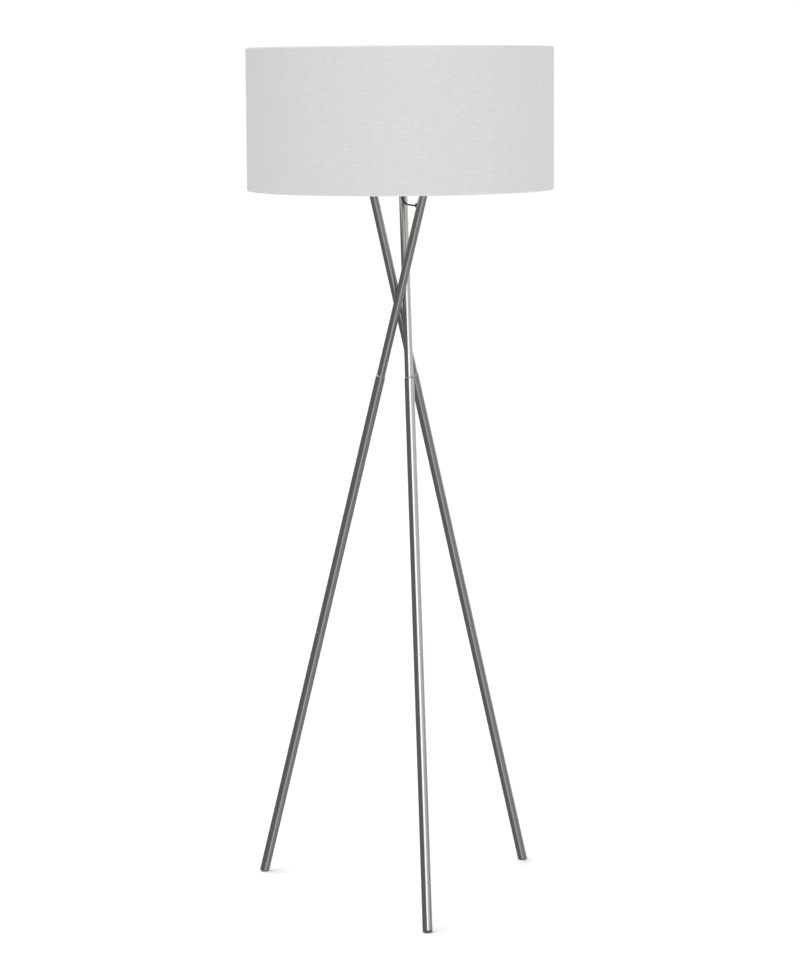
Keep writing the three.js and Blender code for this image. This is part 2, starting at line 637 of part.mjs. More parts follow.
// ---- Bulb.
const bulbBaseTop = BULB_BOTTOM + BULB_BASE.height;
addPiece(lamp, "bulb_contact", revolve([
  [0, BULB_BOTTOM],
  [BULB_BASE.tip, BULB_BOTTOM],
  [BULB_BASE.radius, BULB_BOTTOM + BULB_BASE.taper],
  [BULB_BASE.radius, bulbBaseTop],
  [0, bulbBaseTop],
], TUBE_SIDES), finish.blackPlastic);
const bulbCapBottom = bulbBaseTop + GAP;
const bulbCapTop = bulbCapBottom + BULB_CAP_HEIGHT;
const bulbCapInner = BULB_CAP_RADIUS - BULB_CAP_WALL;
addPiece(lamp, "bulb_cap", revolve([
  [0, bulbCapBottom],
  [BULB_BASE.radius, bulbCapBottom],
  [BULB_CAP_RADIUS, bulbCapBottom + BULB_CAP_TAPER],
  [BULB_CAP_RADIUS, bulbCapTop],
  [bulbCapInner, bulbCapTop],
  [bulbCapInner, bulbCapBottom + BULB_CAP_TAPER],
  [BULB_BASE.radius - BULB_CAP_WALL / 2, bulbCapBottom + BULB_CAP_WALL],
  [0, bulbCapBottom + BULB_CAP_WALL],
], TUBE_SIDES), finish.zinc);

// The glass: a neck in the cap, a flare, and a round globe.
function bulbGlassGeometry() {
  const neck = bulbCapInner - GAP;
  const centre = BULB_BOTTOM + BULB_LENGTH - BULB_GLOBE_RADIUS;
  const flare = radians(BULB_FLARE_ANGLE);
  const jointRadius = BULB_GLOBE_RADIUS * Math.cos(flare);
  const jointHeight = centre + BULB_GLOBE_RADIUS * Math.sin(flare);
  const slope = [Math.sin(flare), -Math.cos(flare)].map((part) => (part * BULB_GLOBE_RADIUS) / 2);
  const outline = new THREE.Path();
  outline.moveTo(neck, bulbCapTop - BULB_NECK_DEPTH);
  outline.lineTo(neck, bulbCapTop + GAP);
  outline.bezierCurveTo(
    neck, bulbCapTop + BULB_GLOBE_RADIUS / 2,
    jointRadius + slope[0], jointHeight + slope[1],
    jointRadius, jointHeight,
  );
  outline.absarc(0, centre, BULB_GLOBE_RADIUS, flare, Math.PI / 2, false);
  const outer = outline.getPoints(4).map(({ x, y }) => [Math.max(x, 0), y]);
  outer[outer.length - 1][0] = 0;
  const shrink = (BULB_GLOBE_RADIUS - BULB_GLASS) / BULB_GLOBE_RADIUS;
  const inner = outer.map(([x, y]) => {
    const height = y > centre ? centre + (y - centre) * shrink : y;
    return [Math.max(x - BULB_GLASS, 0), height];
  });
  inner[inner.length - 1][0] = 0;
  return revolve([...inner.slice().reverse(), ...outer], TUBE_SIDES);
}
addPiece(lamp, "bulb_glass", bulbGlassGeometry(), finish.opalGlass);

// ---- Shade.
const linerOuter = SHADE_RADIUS - FABRIC - GAP;
const hemInner = RING_RADIUS - RING_WIRE - GAP - FABRIC;
addPiece(lamp, "shade_fabric", revolve([
  [SHADE_RADIUS, SHADE_BOTTOM],
  [SHADE_RADIUS, SHADE_TOP],
  [hemInner, SHADE_TOP],
  [hemInner, SHADE_TOP - HEM_HEIGHT],
  [hemInner + FABRIC, SHADE_TOP - HEM_HEIGHT],
  [hemInner + FABRIC, SHADE_TOP - FABRIC],
  [SHADE_RADIUS - FABRIC, SHADE_TOP - FABRIC],
  [SHADE_RADIUS - FABRIC, SHADE_BOTTOM + FABRIC],
  [hemInner + FABRIC, SHADE_BOTTOM + FABRIC],
  [hemInner + FABRIC, SHADE_BOTTOM + HEM_HEIGHT],
  [hemInner, SHADE_BOTTOM + HEM_HEIGHT],
  [hemInner, SHADE_BOTTOM],
  [SHADE_RADIUS, SHADE_BOTTOM],
], SHADE_SIDES), finish.fabric);
const linerBottom = SHADE_BOTTOM + FABRIC + GAP;
const linerTop = SHADE_TOP - FABRIC - GAP;
addPiece(
  lamp,
  "shade_liner",
  pipe(linerOuter, linerOuter - LINER, linerBottom, linerTop, SHADE_SIDES),
  finish.liner,
);

// A wire ring that lies in a hem.
function hemRing(centreHeight) {
  const outline = Array.from({ length: 7 }, (_, i) => {
    const angle = (2 * Math.PI * (i % 6)) / 6;
    return [RING_RADIUS + RING_WIRE * Math.cos(angle), centreHeight + RING_WIRE * Math.sin(angle)];
  });
  return revolve(outline, SHADE_SIDES);
}
const ringInset = FABRIC + GAP + RING_WIRE;
addPiece(lamp, "shade_top_ring", hemRing(SHADE_TOP - ringInset), finish.whiteWire);
addPiece(lamp, "shade_bottom_ring", hemRing(SHADE_BOTTOM + ringInset), finish.whiteWire);

// The spider: a flat ring round the lampholder and three wire arms down to the bottom ring.
function spiderGeometry() {
  const eye = pipe(FITTER_RADIUS, FITTER_BORE, FITTER_BOTTOM, FITTER_BOTTOM + FITTER_THICKNESS, RING_SIDES);
  const armHeight = FITTER_BOTTOM + FITTER_THICKNESS - ARM_WIRE;
  const tipHeight = SHADE_BOTTOM + FABRIC + GAP + 2 * RING_WIRE + GAP + ARM_WIRE;
  const arms = ARM_AZIMUTHS.map((azimuth) => {
    const path = new THREE.CurvePath();
    const bend = new THREE.Vector3(ARM_BEND_RADIUS, 0, armHeight);
    const tip = new THREE.Vector3(RING_RADIUS, 0, tipHeight);
    const intoBend = bend.clone().setX(ARM_BEND_RADIUS - ARM_BEND_REACH);
    const outOfBend = bend.clone().lerp(tip, ARM_BEND_REACH / bend.distanceTo(tip));
    const root = new THREE.Vector3(SLEEVE_FLANGE_RADIUS + 2 * GAP, 0, armHeight);
    path.add(new THREE.LineCurve3(root, intoBend));
    path.add(new THREE.QuadraticBezierCurve3(intoBend, bend, outOfBend));
    path.add(new THREE.LineCurve3(outOfBend, tip));
    return sweep(path, ARM_WIRE, 16).rotateZ(radians(azimuth));
  });
  return join(eye, ...arms);
}
addPiece(lamp, "shade_spider", spiderGeometry(), finish.whiteWire);

// ---- Flex: from the switch down through the nipple, over to the left leg, and down inside it.
const legPoint = (along) => new THREE.Vector3(0, 0, along).applyMatrix4(legs.left.matrixWorld);
const flexTurn = FLEX_HOLE_HEIGHT / Math.cos(LEAN);
const loopEnd = flexTurn - 30;
const loopRoute = new THREE.CatmullRomCurve3([
  new THREE.Vector3(0, 0, SWITCH_HEIGHT - 6.5),
  new THREE.Vector3(0, 0, NIPPLE_TOP - 8),
  new THREE.Vector3(0, 0, NIPPLE_BOTTOM),
  new THREE.Vector3(0, 0, 1258),
  new THREE.Vector3(1.4, -1.2, 1250),
  new THREE.Vector3(4.6, -3.8, 1241.5),
  new THREE.Vector3(10, -8.4, 1234.8),
  alongGrommet(TOP_TUBE_RADIUS + 9),
  alongGrommet(TOP_TUBE_RADIUS + 3),
  alongGrommet(TOP_TUBE_RADIUS - 2.5),
  legPoint(flexTurn - 2.6).addScaledVector(towardsAxis, 1.2),
  legPoint(flexTurn - 8),
  legPoint(flexTurn - 16),
  legPoint(loopEnd),
]);
addPiece(lamp, "flex_loop", sweep(loopRoute, FLEX_RADIUS, 44), finish.flex);
const innerRun = new THREE.LineCurve3(legPoint(loopEnd - GAP), legPoint(OUTLET_AT + 8));
addPiece(lamp, "flex_in_leg", sweep(innerRun, FLEX_RADIUS, 12), finish.flex);

export default lamp;
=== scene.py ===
"""Tripod floor lamp with a fabric drum shade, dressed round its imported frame.

Metres, +Z up. The lamp's axis is Z, its floor is Z 0 and +Y is its back.
"""

from __future__ import annotations

import logging
import math
from collections.abc import Iterable, Sequence
from dataclasses import dataclass, field, replace
from enum import Enum

import bmesh
import bpy
from bmesh.types import BMesh, BMFace, BMVert
from bpy.types import Material, Node, NodeSocket, NodeTree, Object
from mathutils import Euler, Matrix, Vector
from mathutils.geometry import interpolate_bezier


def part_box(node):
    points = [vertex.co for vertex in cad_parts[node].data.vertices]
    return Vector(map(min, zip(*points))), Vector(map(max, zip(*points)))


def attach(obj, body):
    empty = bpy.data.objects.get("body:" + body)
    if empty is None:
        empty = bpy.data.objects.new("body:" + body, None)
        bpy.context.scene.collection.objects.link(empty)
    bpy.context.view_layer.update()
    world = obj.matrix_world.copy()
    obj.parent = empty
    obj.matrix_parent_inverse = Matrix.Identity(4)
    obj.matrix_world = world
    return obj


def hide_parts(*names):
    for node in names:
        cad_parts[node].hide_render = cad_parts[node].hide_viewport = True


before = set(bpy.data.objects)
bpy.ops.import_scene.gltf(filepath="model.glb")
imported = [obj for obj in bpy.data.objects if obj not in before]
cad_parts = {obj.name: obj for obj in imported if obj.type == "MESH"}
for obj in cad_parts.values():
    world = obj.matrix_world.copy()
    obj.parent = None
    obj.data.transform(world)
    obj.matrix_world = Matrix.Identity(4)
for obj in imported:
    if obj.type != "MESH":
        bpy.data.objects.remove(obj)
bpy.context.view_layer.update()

log = logging.getLogger("floor_lamp")

TURN = 2 * math.pi
UP = Vector((0.0, 0.0, 1.0))
WELD = 1e-6
GAP = 0.0003
SOFT_ANGLE = math.radians(32)

Corner = tuple[float, float]
Colour = tuple[float, float, float]


# ---------------------------------------------------------------- mesh tools


class Boolean(Enum):
    """How one solid changes another."""

    CUT = "DIFFERENCE"
    ADD = "UNION"


def level(azimuth: float, radius: float = 1.0, height: float = 0.0) -> Vector:
    """The point at an azimuth in degrees, a radius from the axis and a height."""
    turn = math.radians(azimuth)
    return Vector((radius * math.cos(turn), radius * math.sin(turn), height))


def about_z(degrees: float) -> Matrix:
    """A turn about the lamp's axis."""
    return Matrix.Rotation(math.radians(degrees), 4, "Z")


def length_of(line: Sequence[Vector]) -> float:
    """Length of a line of points."""
    return sum((after - before).length for before, after in zip(line, line[1:]))


def headings_of(line: Sequence[Vector]) -> list[Vector]:
    """Direction of a line at each of its points."""
    ends = [line[0], *line, line[-1]]
    return [(after - before).normalized() for before, after in zip(ends, ends[2:])]


def heights(low: float, high: float, steps: int) -> list[float]:
    """Evenly spaced heights from low to high."""
    return [low + (high - low) * i / steps for i in range(steps + 1)]


def wall(radius: float, low: float, high: float, steps: int) -> list[Corner]:
    """Evenly spaced corners up a straight wall, for a thread to shape."""
    return [(radius, height) for height in heights(low, high, steps)]


def arc(centre: Corner, radius: float, start: float, end: float, steps: int) -> list[Corner]:
    """Corners along an arc, from one angle in degrees to another."""
    turns = [math.radians(angle) for angle in heights(start, end, steps)]
    return [(centre[0] + radius * math.cos(turn), centre[1] + radius * math.sin(turn)) for turn in turns]


def moved(bm: BMesh, matrix: Matrix) -> BMesh:
    """Moves a whole mesh by a matrix and returns it."""
    bmesh.ops.transform(bm, matrix=matrix, verts=bm.verts)
    return bm


def facing_out(bm: BMesh) -> BMesh:
    """Merges a closed mesh's doubles, points its faces outwards and returns it."""
    bmesh.ops.remove_doubles(bm, verts=bm.verts, dist=WELD)
    bmesh.ops.recalc_face_normals(bm, faces=bm.faces)
    return bm


def revolve(outline: Sequence[Corner], segments: int = 64) -> BMesh:
    """Spins a section a full turn about Z.

    Args:
        outline: (radius, height) corners, closed along the axis where it starts and ends there.
        segments: Steps in the turn.

    Returns:
        A closed mesh with its faces outwards.
    """
    bm = bmesh.new()
    verts = [bm.verts.new((radius, 0.0, height)) for radius, height in outline]
    edges = [bm.edges.new(pair) for pair in zip(verts, verts[1:])]
    if max(outline[0][0], outline[-1][0]) > WELD:
        edges.append(bm.edges.new((verts[-1], verts[0])))
    ring = verts + edges
    bmesh.ops.spin(bm, geom=ring, cent=(0, 0, 0), axis=UP, angle=TURN, steps=segments, use_merge=True)
    return facing_out(bm)


def round_edges(
    bm: BMesh, width: float, segments: int = 2, over: float = 35, above: float = -math.inf
) -> BMesh:
    """Bevels every edge that is sharper than an angle.

    Args:
        bm: The mesh, changed in place.
        width: Distance of the new edges from the old one.
        segments: Faces across the bevel.
        over: Smallest angle in degrees between two faces that counts as sharp.
        above: Height that an edge has to lie above.

    Returns:
        The same mesh.
    """
    limit = math.radians(over)
    sharp = [edge for edge in bm.edges if edge.is_manifold and edge.calc_face_angle(0.0) > limit]
    sharp = [edge for edge in sharp if min(vert.co.z for vert in edge.verts) > above]
    settings = {"profile": 0.5, "affect": "EDGES", "clamp_overlap": True, "material": -1}
    bmesh.ops.bevel(bm, geom=sharp, offset=width, segments=segments, **settings)
    return bm


def bar(start: Vector, end: Vector, radius: float, segments: int = 32) -> BMesh:
    """A solid round bar between two points."""
    bm = bmesh.new()
    run = end - start
    place = Matrix.Translation((start + end) / 2) @ UP.rotation_difference(run).to_matrix().to_4x4()
    size = {"radius1": radius, "radius2": radius, "depth": run.length}
    bmesh.ops.create_cone(bm, cap_ends=True, segments=segments, matrix=place, **size)
    return bm


def upright(low: float, high: float, radius: float, segments: int = 32) -> BMesh:
    """A solid round bar on the axis."""
    return bar(UP * low, UP * high, radius, segments)


def block(size: Sequence[float], centre: Sequence[float]) -> BMesh:
    """A box of a size round a centre."""
    bm = bmesh.new()
    bmesh.ops.create_cube(bm, size=1.0, matrix=Matrix.Translation(centre) @ Matrix.Diagonal((*size, 1.0)))
    return bm


def smooth_route(points: Sequence[Vector], per_span: int = 8) -> list[Vector]:
    """A smooth line through given points.

    Args:
        points: The points that the line passes.
        per_span: Steps between two of them.

    Returns:
        Closely spaced points from the first to the last.
    """
    tangents = headings_of(points)
    route = [points[0]]
    for i, (a, b) in enumerate(zip(points, points[1:])):
        reach = (b - a).length / 3
        span = interpolate_bezier(a, a + tangents[i] * reach, b - tangents[i + 1] * reach, b, per_span + 1)
        route.extend(span[1:])
    return route


def sweep(route: Sequence[Vector], radius: float, sides: int = 20) -> BMesh:
    """A round wire or cord along a line, closed at both ends.

    Args:
        route: The points of its centre line.
        radius: The wire's radius.
        sides: Faces round it.

    Returns:
        The closed mesh.
    """
    bm = bmesh.new()
    headings = headings_of(route)
    start = Matrix.Translation(route[0]) @ UP.rotation_difference(headings[0]).to_matrix().to_4x4()
    bmesh.ops.create_circle(bm, cap_ends=True, radius=radius, segments=sides, matrix=start)
    tip = list(bm.faces)
    for i in range(1, len(route)):
        grown = bmesh.ops.extrude_face_region(bm, geom=tip)["geom"]
        ring = [item for item in grown if isinstance(item, BMVert)]
        turn = headings[i - 1].rotation_difference(headings[i]).to_matrix()
        bmesh.ops.rotate(bm, verts=ring, cent=route[i - 1], matrix=turn)
        bmesh.ops.translate(bm, verts=ring, vec=route[i] - route[i - 1])
        tip = [item for item in grown if isinstance(item, BMFace)]
    return facing_out(bm)


def object_from(bm: BMesh, name: str) -> Object:
    """Puts a mesh into a new object of the scene and frees the mesh."""
    mesh = bpy.data.meshes.new(name)
    bm.to_mesh(mesh)
    bm.free()
    made = bpy.data.objects.new(name, mesh)
    bpy.context.scene.collection.objects.link(made)
    return made


def mesh_of(made: Object) -> BMesh:
    """Takes an object out of the scene and returns its mesh with the modifiers applied."""
    bm = bmesh.new()
    bm.from_object(made, bpy.context.evaluated_depsgraph_get())
    mesh = made.data
    bpy.data.objects.remove(made)
    bpy.data.meshes.remove(mesh)
    return bm


def level_normals(made: Object) -> Object:
    """Weights an object's corner normals by face area, so that long faces stay even to their ends."""
    made.modifiers.new("normals", "WEIGHTED_NORMAL").keep_sharp = True
    graph = bpy.context.evaluated_depsgraph_get()
    source, ready = made.data, made.evaluated_get(graph)
    made.data = bpy.data.meshes.new_from_object(ready, preserve_all_data_layers=True, depsgraph=graph)
    made.modifiers.clear()
    bpy.data.meshes.remove(source)
    made.data.name = made.name
    return made


def combine(base: BMesh, tools: Iterable[BMesh], how: Boolean = Boolean.CUT) -> BMesh:
    """Cuts tools out of a solid, or adds them to it.

    Args:
        base: The solid to change. It is used up.
        tools: The other solids. They are used up too.
        how: Whether they are cut out or added.

    Returns:
        The new solid.
    """
    body = object_from(base, "solid")
    for tool in tools:
        other = object_from(tool, "tool")
        modifier = body.modifiers.new("boolean", "BOOLEAN")
        modifier.operation, modifier.solver, modifier.object = how.value, "EXACT", other
        result = mesh_of(body)
        mesh_of(other).free()
        body = object_from(result, "solid")
    bm = mesh_of(body)
    bmesh.ops.remove_doubles(bm, verts=bm.verts, dist=WELD)
    return bm


def cut_level(bm: BMesh, height: float, keep_above: bool) -> BMesh:
    """Cuts a solid level and closes the cut.

    Args:
        bm: The solid, changed in place.
        height: Height of the cut.
        keep_above: Whether what is above the cut stays.

    Returns:
        The same solid.
    """
    plane = {"plane_co": (0, 0, height), "plane_no": UP, "dist": WELD}
    everything = [*bm.verts, *bm.edges, *bm.faces]
    bmesh.ops.bisect_plane(bm, geom=everything, clear_inner=keep_above, clear_outer=not keep_above, **plane)
    bmesh.ops.edgeloop_fill(bm, edges=[edge for edge in bm.edges if edge.is_boundary])
    return bm


def cut_thread(bm: BMesh, root: float, pitch: float, depth: float, low: float, high: float) -> BMesh:
    """Turns the dense rings of a revolved wall into a helical thread.

    Args:
        bm: The mesh about Z, changed in place.
        root: Smallest radius that belongs to the threaded wall.
        pitch: Rise of the thread in a turn.
        depth: Depth from crest to root.
        low: Height where the thread starts.
        high: Height where it ends.

    Returns:
        The same mesh.
    """
    for vert in bm.verts:
        flat = vert.co.xy
        if flat.length < root or not low < vert.co.z < high:
            continue
        phase = vert.co.z / pitch - math.atan2(flat.y, flat.x) / TURN
        fade = min(1.0, (vert.co.z - low) / pitch, (high - vert.co.z) / pitch)
        sink = depth * fade * (0.5 - 0.5 * math.cos(TURN * phase))
        vert.co.xy = flat * (1 - sink / flat.length)
    return bm


# ------------------------------------------------------------------ finishes


class Graph:
    """A short way to lay out a shader's nodes."""

    def __init__(self, tree: NodeTree) -> None:
        """Starts on an emptied node tree."""
        self.tree = tree
        tree.nodes.clear()

    def add(self, kind: str, settings: dict[str, object] | None = None, **inputs: object) -> Node:
        """Adds a node.

        Args:
            kind: The node's type, without its ShaderNode prefix.
            settings: Properties of the node itself.
            **inputs: Input sockets by name, with _ for a space, or by number as i0, i1 and so
                on. Each is a value or the socket to link.

        Returns:
            The new node.
        """
        node = self.tree.nodes.new("ShaderNode" + kind)
        for name, value in (settings or {}).items():
            setattr(node, name, value)
        for name, value in inputs.items():
            numbered = name[0] == "i" and name[1:].isdigit()
            socket = node.inputs[int(name[1:])] if numbered else node.inputs[name.replace("_", " ")]
            if isinstance(value, NodeSocket):
                self.tree.links.new(value, socket)
            else:
                socket.default_value = value
        return node

    def math(self, operation: str, first: object, second: object = 0.0) -> NodeSocket:
        """The result of a sum on one or two values."""
        return self.add("Math", {"operation": operation}, i0=first, i1=second).outputs[0]

    def times(self, first: object, second: object) -> NodeSocket:
        """The product of two values."""
        return self.math("MULTIPLY", first, second)

    def plus(self, first: object, second: object) -> NodeSocket:
        """The sum of two values."""
        return self.math("ADD", first, second)

    def ramp(
        self, value: object, low: float, high: float, start: float = 0.0, end: float = 1.0
    ) -> NodeSocket:
        """A value eased from low and high to start and end."""
        spans = {"From_Min": low, "From_Max": high, "To_Min": start, "To_Max": end}
        eased = self.add("MapRange", {"interpolation_type": "SMOOTHSTEP"}, Value=value, **spans)
        return eased.outputs["Result"]

    def noise(self, place: object, scale: float, detail: float = 2.0) -> NodeSocket:
        """Smooth noise, about 0.5."""
        return self.add("TexNoise", None, Vector=place, Scale=scale, Detail=detail).outputs[0]

    def stretch(self, place: object, scale: Colour) -> NodeSocket:
        """Coordinates scaled along each axis."""
        return self.add("VectorMath", {"operation": "MULTIPLY"}, i0=place, i1=scale).outputs[0]

    def mix(self, share: object, first: object, second: Colour) -> NodeSocket:
        """A colour, or a socket of one, mixed with a second colour by a share."""
        base = first if isinstance(first, NodeSocket) else (*first, 1.0)
        return self.add("Mix", {"data_type": "RGBA"}, i0=share, i6=base, i7=(*second, 1.0)).outputs[2]

    def finish(self, colour: NodeSocket, bump: Corner, height: NodeSocket, **rest: object) -> None:
        """Ends a material in its surface.

        Args:
            colour: Its colour.
            bump: Strength and distance of its relief.
            height: Height of the relief.
            **rest: The surface's other sockets.
        """
        relief = self.add("Bump", None, Strength=bump[0], Distance=bump[1], Height=height).outputs[0]
        shader = self.add("BsdfPrincipled", None, Base_Color=colour, Normal=relief, **rest)
        self.add("OutputMaterial", None, Surface=shader.outputs[0])


@dataclass(frozen=True)
class Finish:
    """What all finishes share: a name, two colours to vary between, and the record's slot."""

    name: str
    colour: Colour
    shade: Colour
    slot: str = field(default="", kw_only=True)

    def __post_init__(self) -> None:
        """Gives a finish without a slot the slot of its own name."""
        object.__setattr__(self, "slot", self.slot or self.name)

    def material(self) -> Material:
        """The finish's material, made once."""
        name = f"{self.name}_finish"
        made = bpy.data.materials.get(name)
        if made is None:
            made = bpy.data.materials.new(name)
            made.use_nodes = True
            self.lay_out(Graph(made.node_tree))
        return made

    def lay_out(self, graph: Graph) -> None:
        """Lays out the nodes; each kind of finish has its own."""
        raise NotImplementedError


@dataclass(frozen=True)
class Metal(Finish):
    """Worked metal: fine tool lines, a little tarnish and a few marks."""

    roughness: Corner = (0.26, 0.38)
    lines: Colour = (2600.0, 2600.0, 60.0)
    relief: float = 0.000012
    origin: Colour = (0.0, 0.0, 0.0)
    turn: Colour = (0.0, 0.0, 0.0)

    def lay_out(self, graph: Graph) -> None:
        """Tool lines stretched along the piece, over cloudy tarnish."""
        here = graph.add("TexCoord").outputs["Object"]
        own = {"Location": self.origin, "Rotation": self.turn}
        place = graph.add("Mapping", {"vector_type": "TEXTURE"}, Vector=here, **own).outputs[0]
        lines = graph.noise(graph.stretch(place, self.lines), 1.0, 3.0)
        cloud = graph.noise(place, 45.0, 4.0)
        marks = graph.ramp(graph.noise(place, 900.0, 1.0), 0.68, 0.78)
        uneven = graph.plus(graph.times(lines, 0.6), graph.times(cloud, 0.4))
        colour = graph.mix(graph.ramp(uneven, 0.3, 0.7), self.shade, self.colour)
        gloss = graph.plus(graph.ramp(uneven, 0.3, 0.7, *self.roughness), graph.times(marks, 0.08))
        graph.finish(colour, (0.35, self.relief), lines, Metallic=1.0, Roughness=gloss)


@dataclass(frozen=True)
class Moulded(Finish):
    """Plastic, rubber, glazed ceramic, glass or paint: fine grain and faint mottling."""

    roughness: Corner = (0.4, 0.55)
    grain: float = 1800.0
    relief: float = 0.00003
    coat: float = 0.0

    def lay_out(self, graph: Graph) -> None:
        """Grain in the relief, mottling in the colour and the gloss."""
        place = graph.add("TexCoord").outputs["Object"]
        grain = graph.noise(place, self.grain, 2.0)
        mottle = graph.noise(place, 60.0, 3.0)
        colour = graph.mix(graph.ramp(mottle, 0.3, 0.7), self.shade, self.colour)
        gloss = graph.ramp(mottle, 0.3, 0.7, *self.roughness)
        graph.finish(colour, (0.4, self.relief), grain, Roughness=gloss, Coat_Weight=self.coat)


@dataclass(frozen=True)
class Linen(Finish):
    """Plain-woven linen with slubs both ways, laid out on the cloth's own UV map in metres."""

    pitch: float = 0.0009
    slub: Colour = (0.72, 0.72, 0.72)
    relief: Corner = (0.5, 0.00018)

    def streaks(self, graph: Graph, place: object, across: float, along: float, over: float) -> NodeSocket:
        """Sparse thick threads, longer one way than the other."""
        drawn = graph.stretch(place, (across, along, 0.0))
        return graph.ramp(graph.noise(drawn, 1.0, 1.0), over, over + 0.09)

    def lay_out(self, graph: Graph) -> None:
        """Crossing threads in relief, slubs in colour and relief, over uneven yarn."""
        place = graph.add("UVMap", {"uv_map": "cloth"}).outputs[0]
        parts = graph.add("SeparateXYZ", None, Vector=place).outputs
        rate = math.pi / self.pitch
        warp, weft = (graph.math("SINE", graph.times(part, rate)) for part in parts[:2])
        over = graph.ramp(graph.times(warp, weft), -0.3, 0.3)
        lift = graph.times(graph.math("ABSOLUTE", warp), over)
        rest = graph.times(graph.math("ABSOLUTE", weft), graph.math("SUBTRACT", 1.0, over))
        weave = graph.plus(lift, rest)
        across = self.streaks(graph, place, 60.0, 620.0, 0.57)
        upright_ones = self.streaks(graph, place, 620.0, 130.0, 0.6)
        slubs = graph.math("MAXIMUM", across, graph.times(upright_ones, 0.7))
        yarn = graph.noise(graph.stretch(place, (30.0, 500.0, 0.0)), 1.0, 3.0)
        ground = graph.mix(graph.ramp(yarn, 0.25, 0.75), self.shade, self.colour)
        colour = graph.mix(slubs, ground, self.slub)
        look = {"Specular_IOR_Level": 0.35, "Sheen_Weight": 0.25, "Sheen_Roughness": 0.5}
        gloss = graph.ramp(weave, 0.0, 1.0, 0.65, 0.5)
        graph.finish(colour, self.relief, graph.plus(weave, slubs), Roughness=gloss, **look)


EVEN = (400.0, 400.0, 400.0)
BRUSHED = Metal("brushed_steel", (0.56, 0.55, 0.535), (0.52, 0.51, 0.495), (0.13, 0.2))
# A darker steel than the legs' brushed steel; of all the pieces, only the waist spacers between the crossing
# tubes take it in this colour.
TURNED = Metal("turned_steel", (0.30, 0.29, 0.28), (0.22, 0.215, 0.21), lines=(60.0, 60.0, 3000.0))
SEAM = replace(TURNED, colour=BRUSHED.colour, shade=BRUSHED.shade, roughness=BRUSHED.roughness)
RINGED = replace(
    SEAM, name="ringed_steel", roughness=TURNED.roughness, lines=(260.0, 260.0, 2000.0), slot="brushed_steel"
)
ZINC = Metal("zinc_steel", (0.72, 0.72, 0.73), (0.62, 0.62, 0.62), (0.2, 0.34), EVEN)
BRASS = Metal("brass", (0.78, 0.6, 0.3), (0.66, 0.48, 0.22), (0.2, 0.34), EVEN)
BLACK = Moulded("black_plastic", (0.018, 0.018, 0.019), (0.012, 0.012, 0.012))
CERAMIC = Moulded("ceramic", (0.8, 0.79, 0.75), (0.74, 0.73, 0.69), (0.15, 0.3), 500.0, 0.00005, 0.6)
RUBBER = Moulded("rubber", (0.034, 0.034, 0.034), (0.026, 0.026, 0.025), (0.75, 0.95), 2500.0, 0.00005)
GREY_RUBBER = Moulded(
    "grey_rubber", (0.12, 0.12, 0.118), (0.1, 0.1, 0.098), (0.6, 0.8), 2500.0, 0.00005, slot="rubber"
)
SHEATH = Moulded("flex_sheath", (0.014, 0.014, 0.015), (0.01, 0.01, 0.01), (0.45, 0.6), 1400.0)
OPAL = Moulded("opal_glass", (0.88, 0.88, 0.86), (0.85, 0.85, 0.83), (0.08, 0.16), 150.0, 0.00002, 1.0)
POWDER = Moulded("white_wire", (0.78, 0.78, 0.77), (0.74, 0.74, 0.73), (0.35, 0.5), 1100.0, 0.00006)
FILM = Moulded("shade_liner", (0.84, 0.84, 0.82), (0.81, 0.81, 0.79), (0.35, 0.5), 300.0, 0.00002)
LINEN = Linen("shade_fabric", (0.675, 0.675, 0.675), (0.64, 0.64, 0.64))


# -------------------------------------------------------------------- pieces


def add_piece(name: str, bm: BMesh, finish: Finish, *stands_for: str, body: str = "stand") -> Object:
    """Makes a finished piece of the lamp.

    Args:
        name: The piece's name.
        bm: Its mesh in the lamp's frame. It is used up.
        finish: What it is finished with.
        *stands_for: The nodes of the frame that it shows in place of.
        body: The body that it moves with.

    Returns:
        The piece.
    """
    for face in bm.faces:
        face.smooth = True
    for edge in bm.edges:
        edge.smooth = edge.calc_face_angle(math.pi) < SOFT_ANGLE
    piece = level_normals(object_from(bm, name))
    piece.data.materials.append(finish.material())
    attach(piece, body)
    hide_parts(*stands_for)
    log.info("%s on %s: %d faces", name, body, len(piece.data.polygons))
    return piece


@dataclass(frozen=True)
class LegLine:
    """Where a leg's centre line runs, from its foot past the waist of the stand."""

    side: str
    azimuth: float
    waist_radius: float
    foot_radius: float = 0.28
    run: float = 0.27974
    waist_height: float = 1.063

    @property
    def foot(self) -> Vector:
        """The point of the centre line at floor level."""
        return level(self.azimuth, self.foot_radius)

    @property
    def lean(self) -> float:
        """Angle between the leg and the upright."""
        return math.atan2(self.run, self.waist_height)

    @property
    def turn(self) -> Colour:
        """Euler angles of the leg's own frame, whose Z runs up the leg."""
        aside = math.asin(self.waist_radius / self.foot_radius)
        return (0.0, self.lean, math.radians(self.azimuth) + math.pi - aside)

    @property
    def matrix(self) -> Matrix:
        """From the leg's own frame to the lamp's."""
        return Matrix.Translation(self.foot) @ Euler(self.turn).to_matrix().to_4x4()

    def point(self, along: float) -> Vector:
        """The point of the centre line at a distance from the foot."""
        return self.matrix @ (UP * along)

    def at_height(self, height: float) -> Vector:
        """The point of the centre line at a height."""
        return self.point(height / math.cos(self.lean))

    def round_about(self, centre: Vector, radius: float, half: float) -> BMesh:
        """A bar along the leg round a point, to shape what sits on its tube."""
        along = self.matrix.to_3x3() @ UP * half
        return bar(centre - along, centre + along, radius, 64)


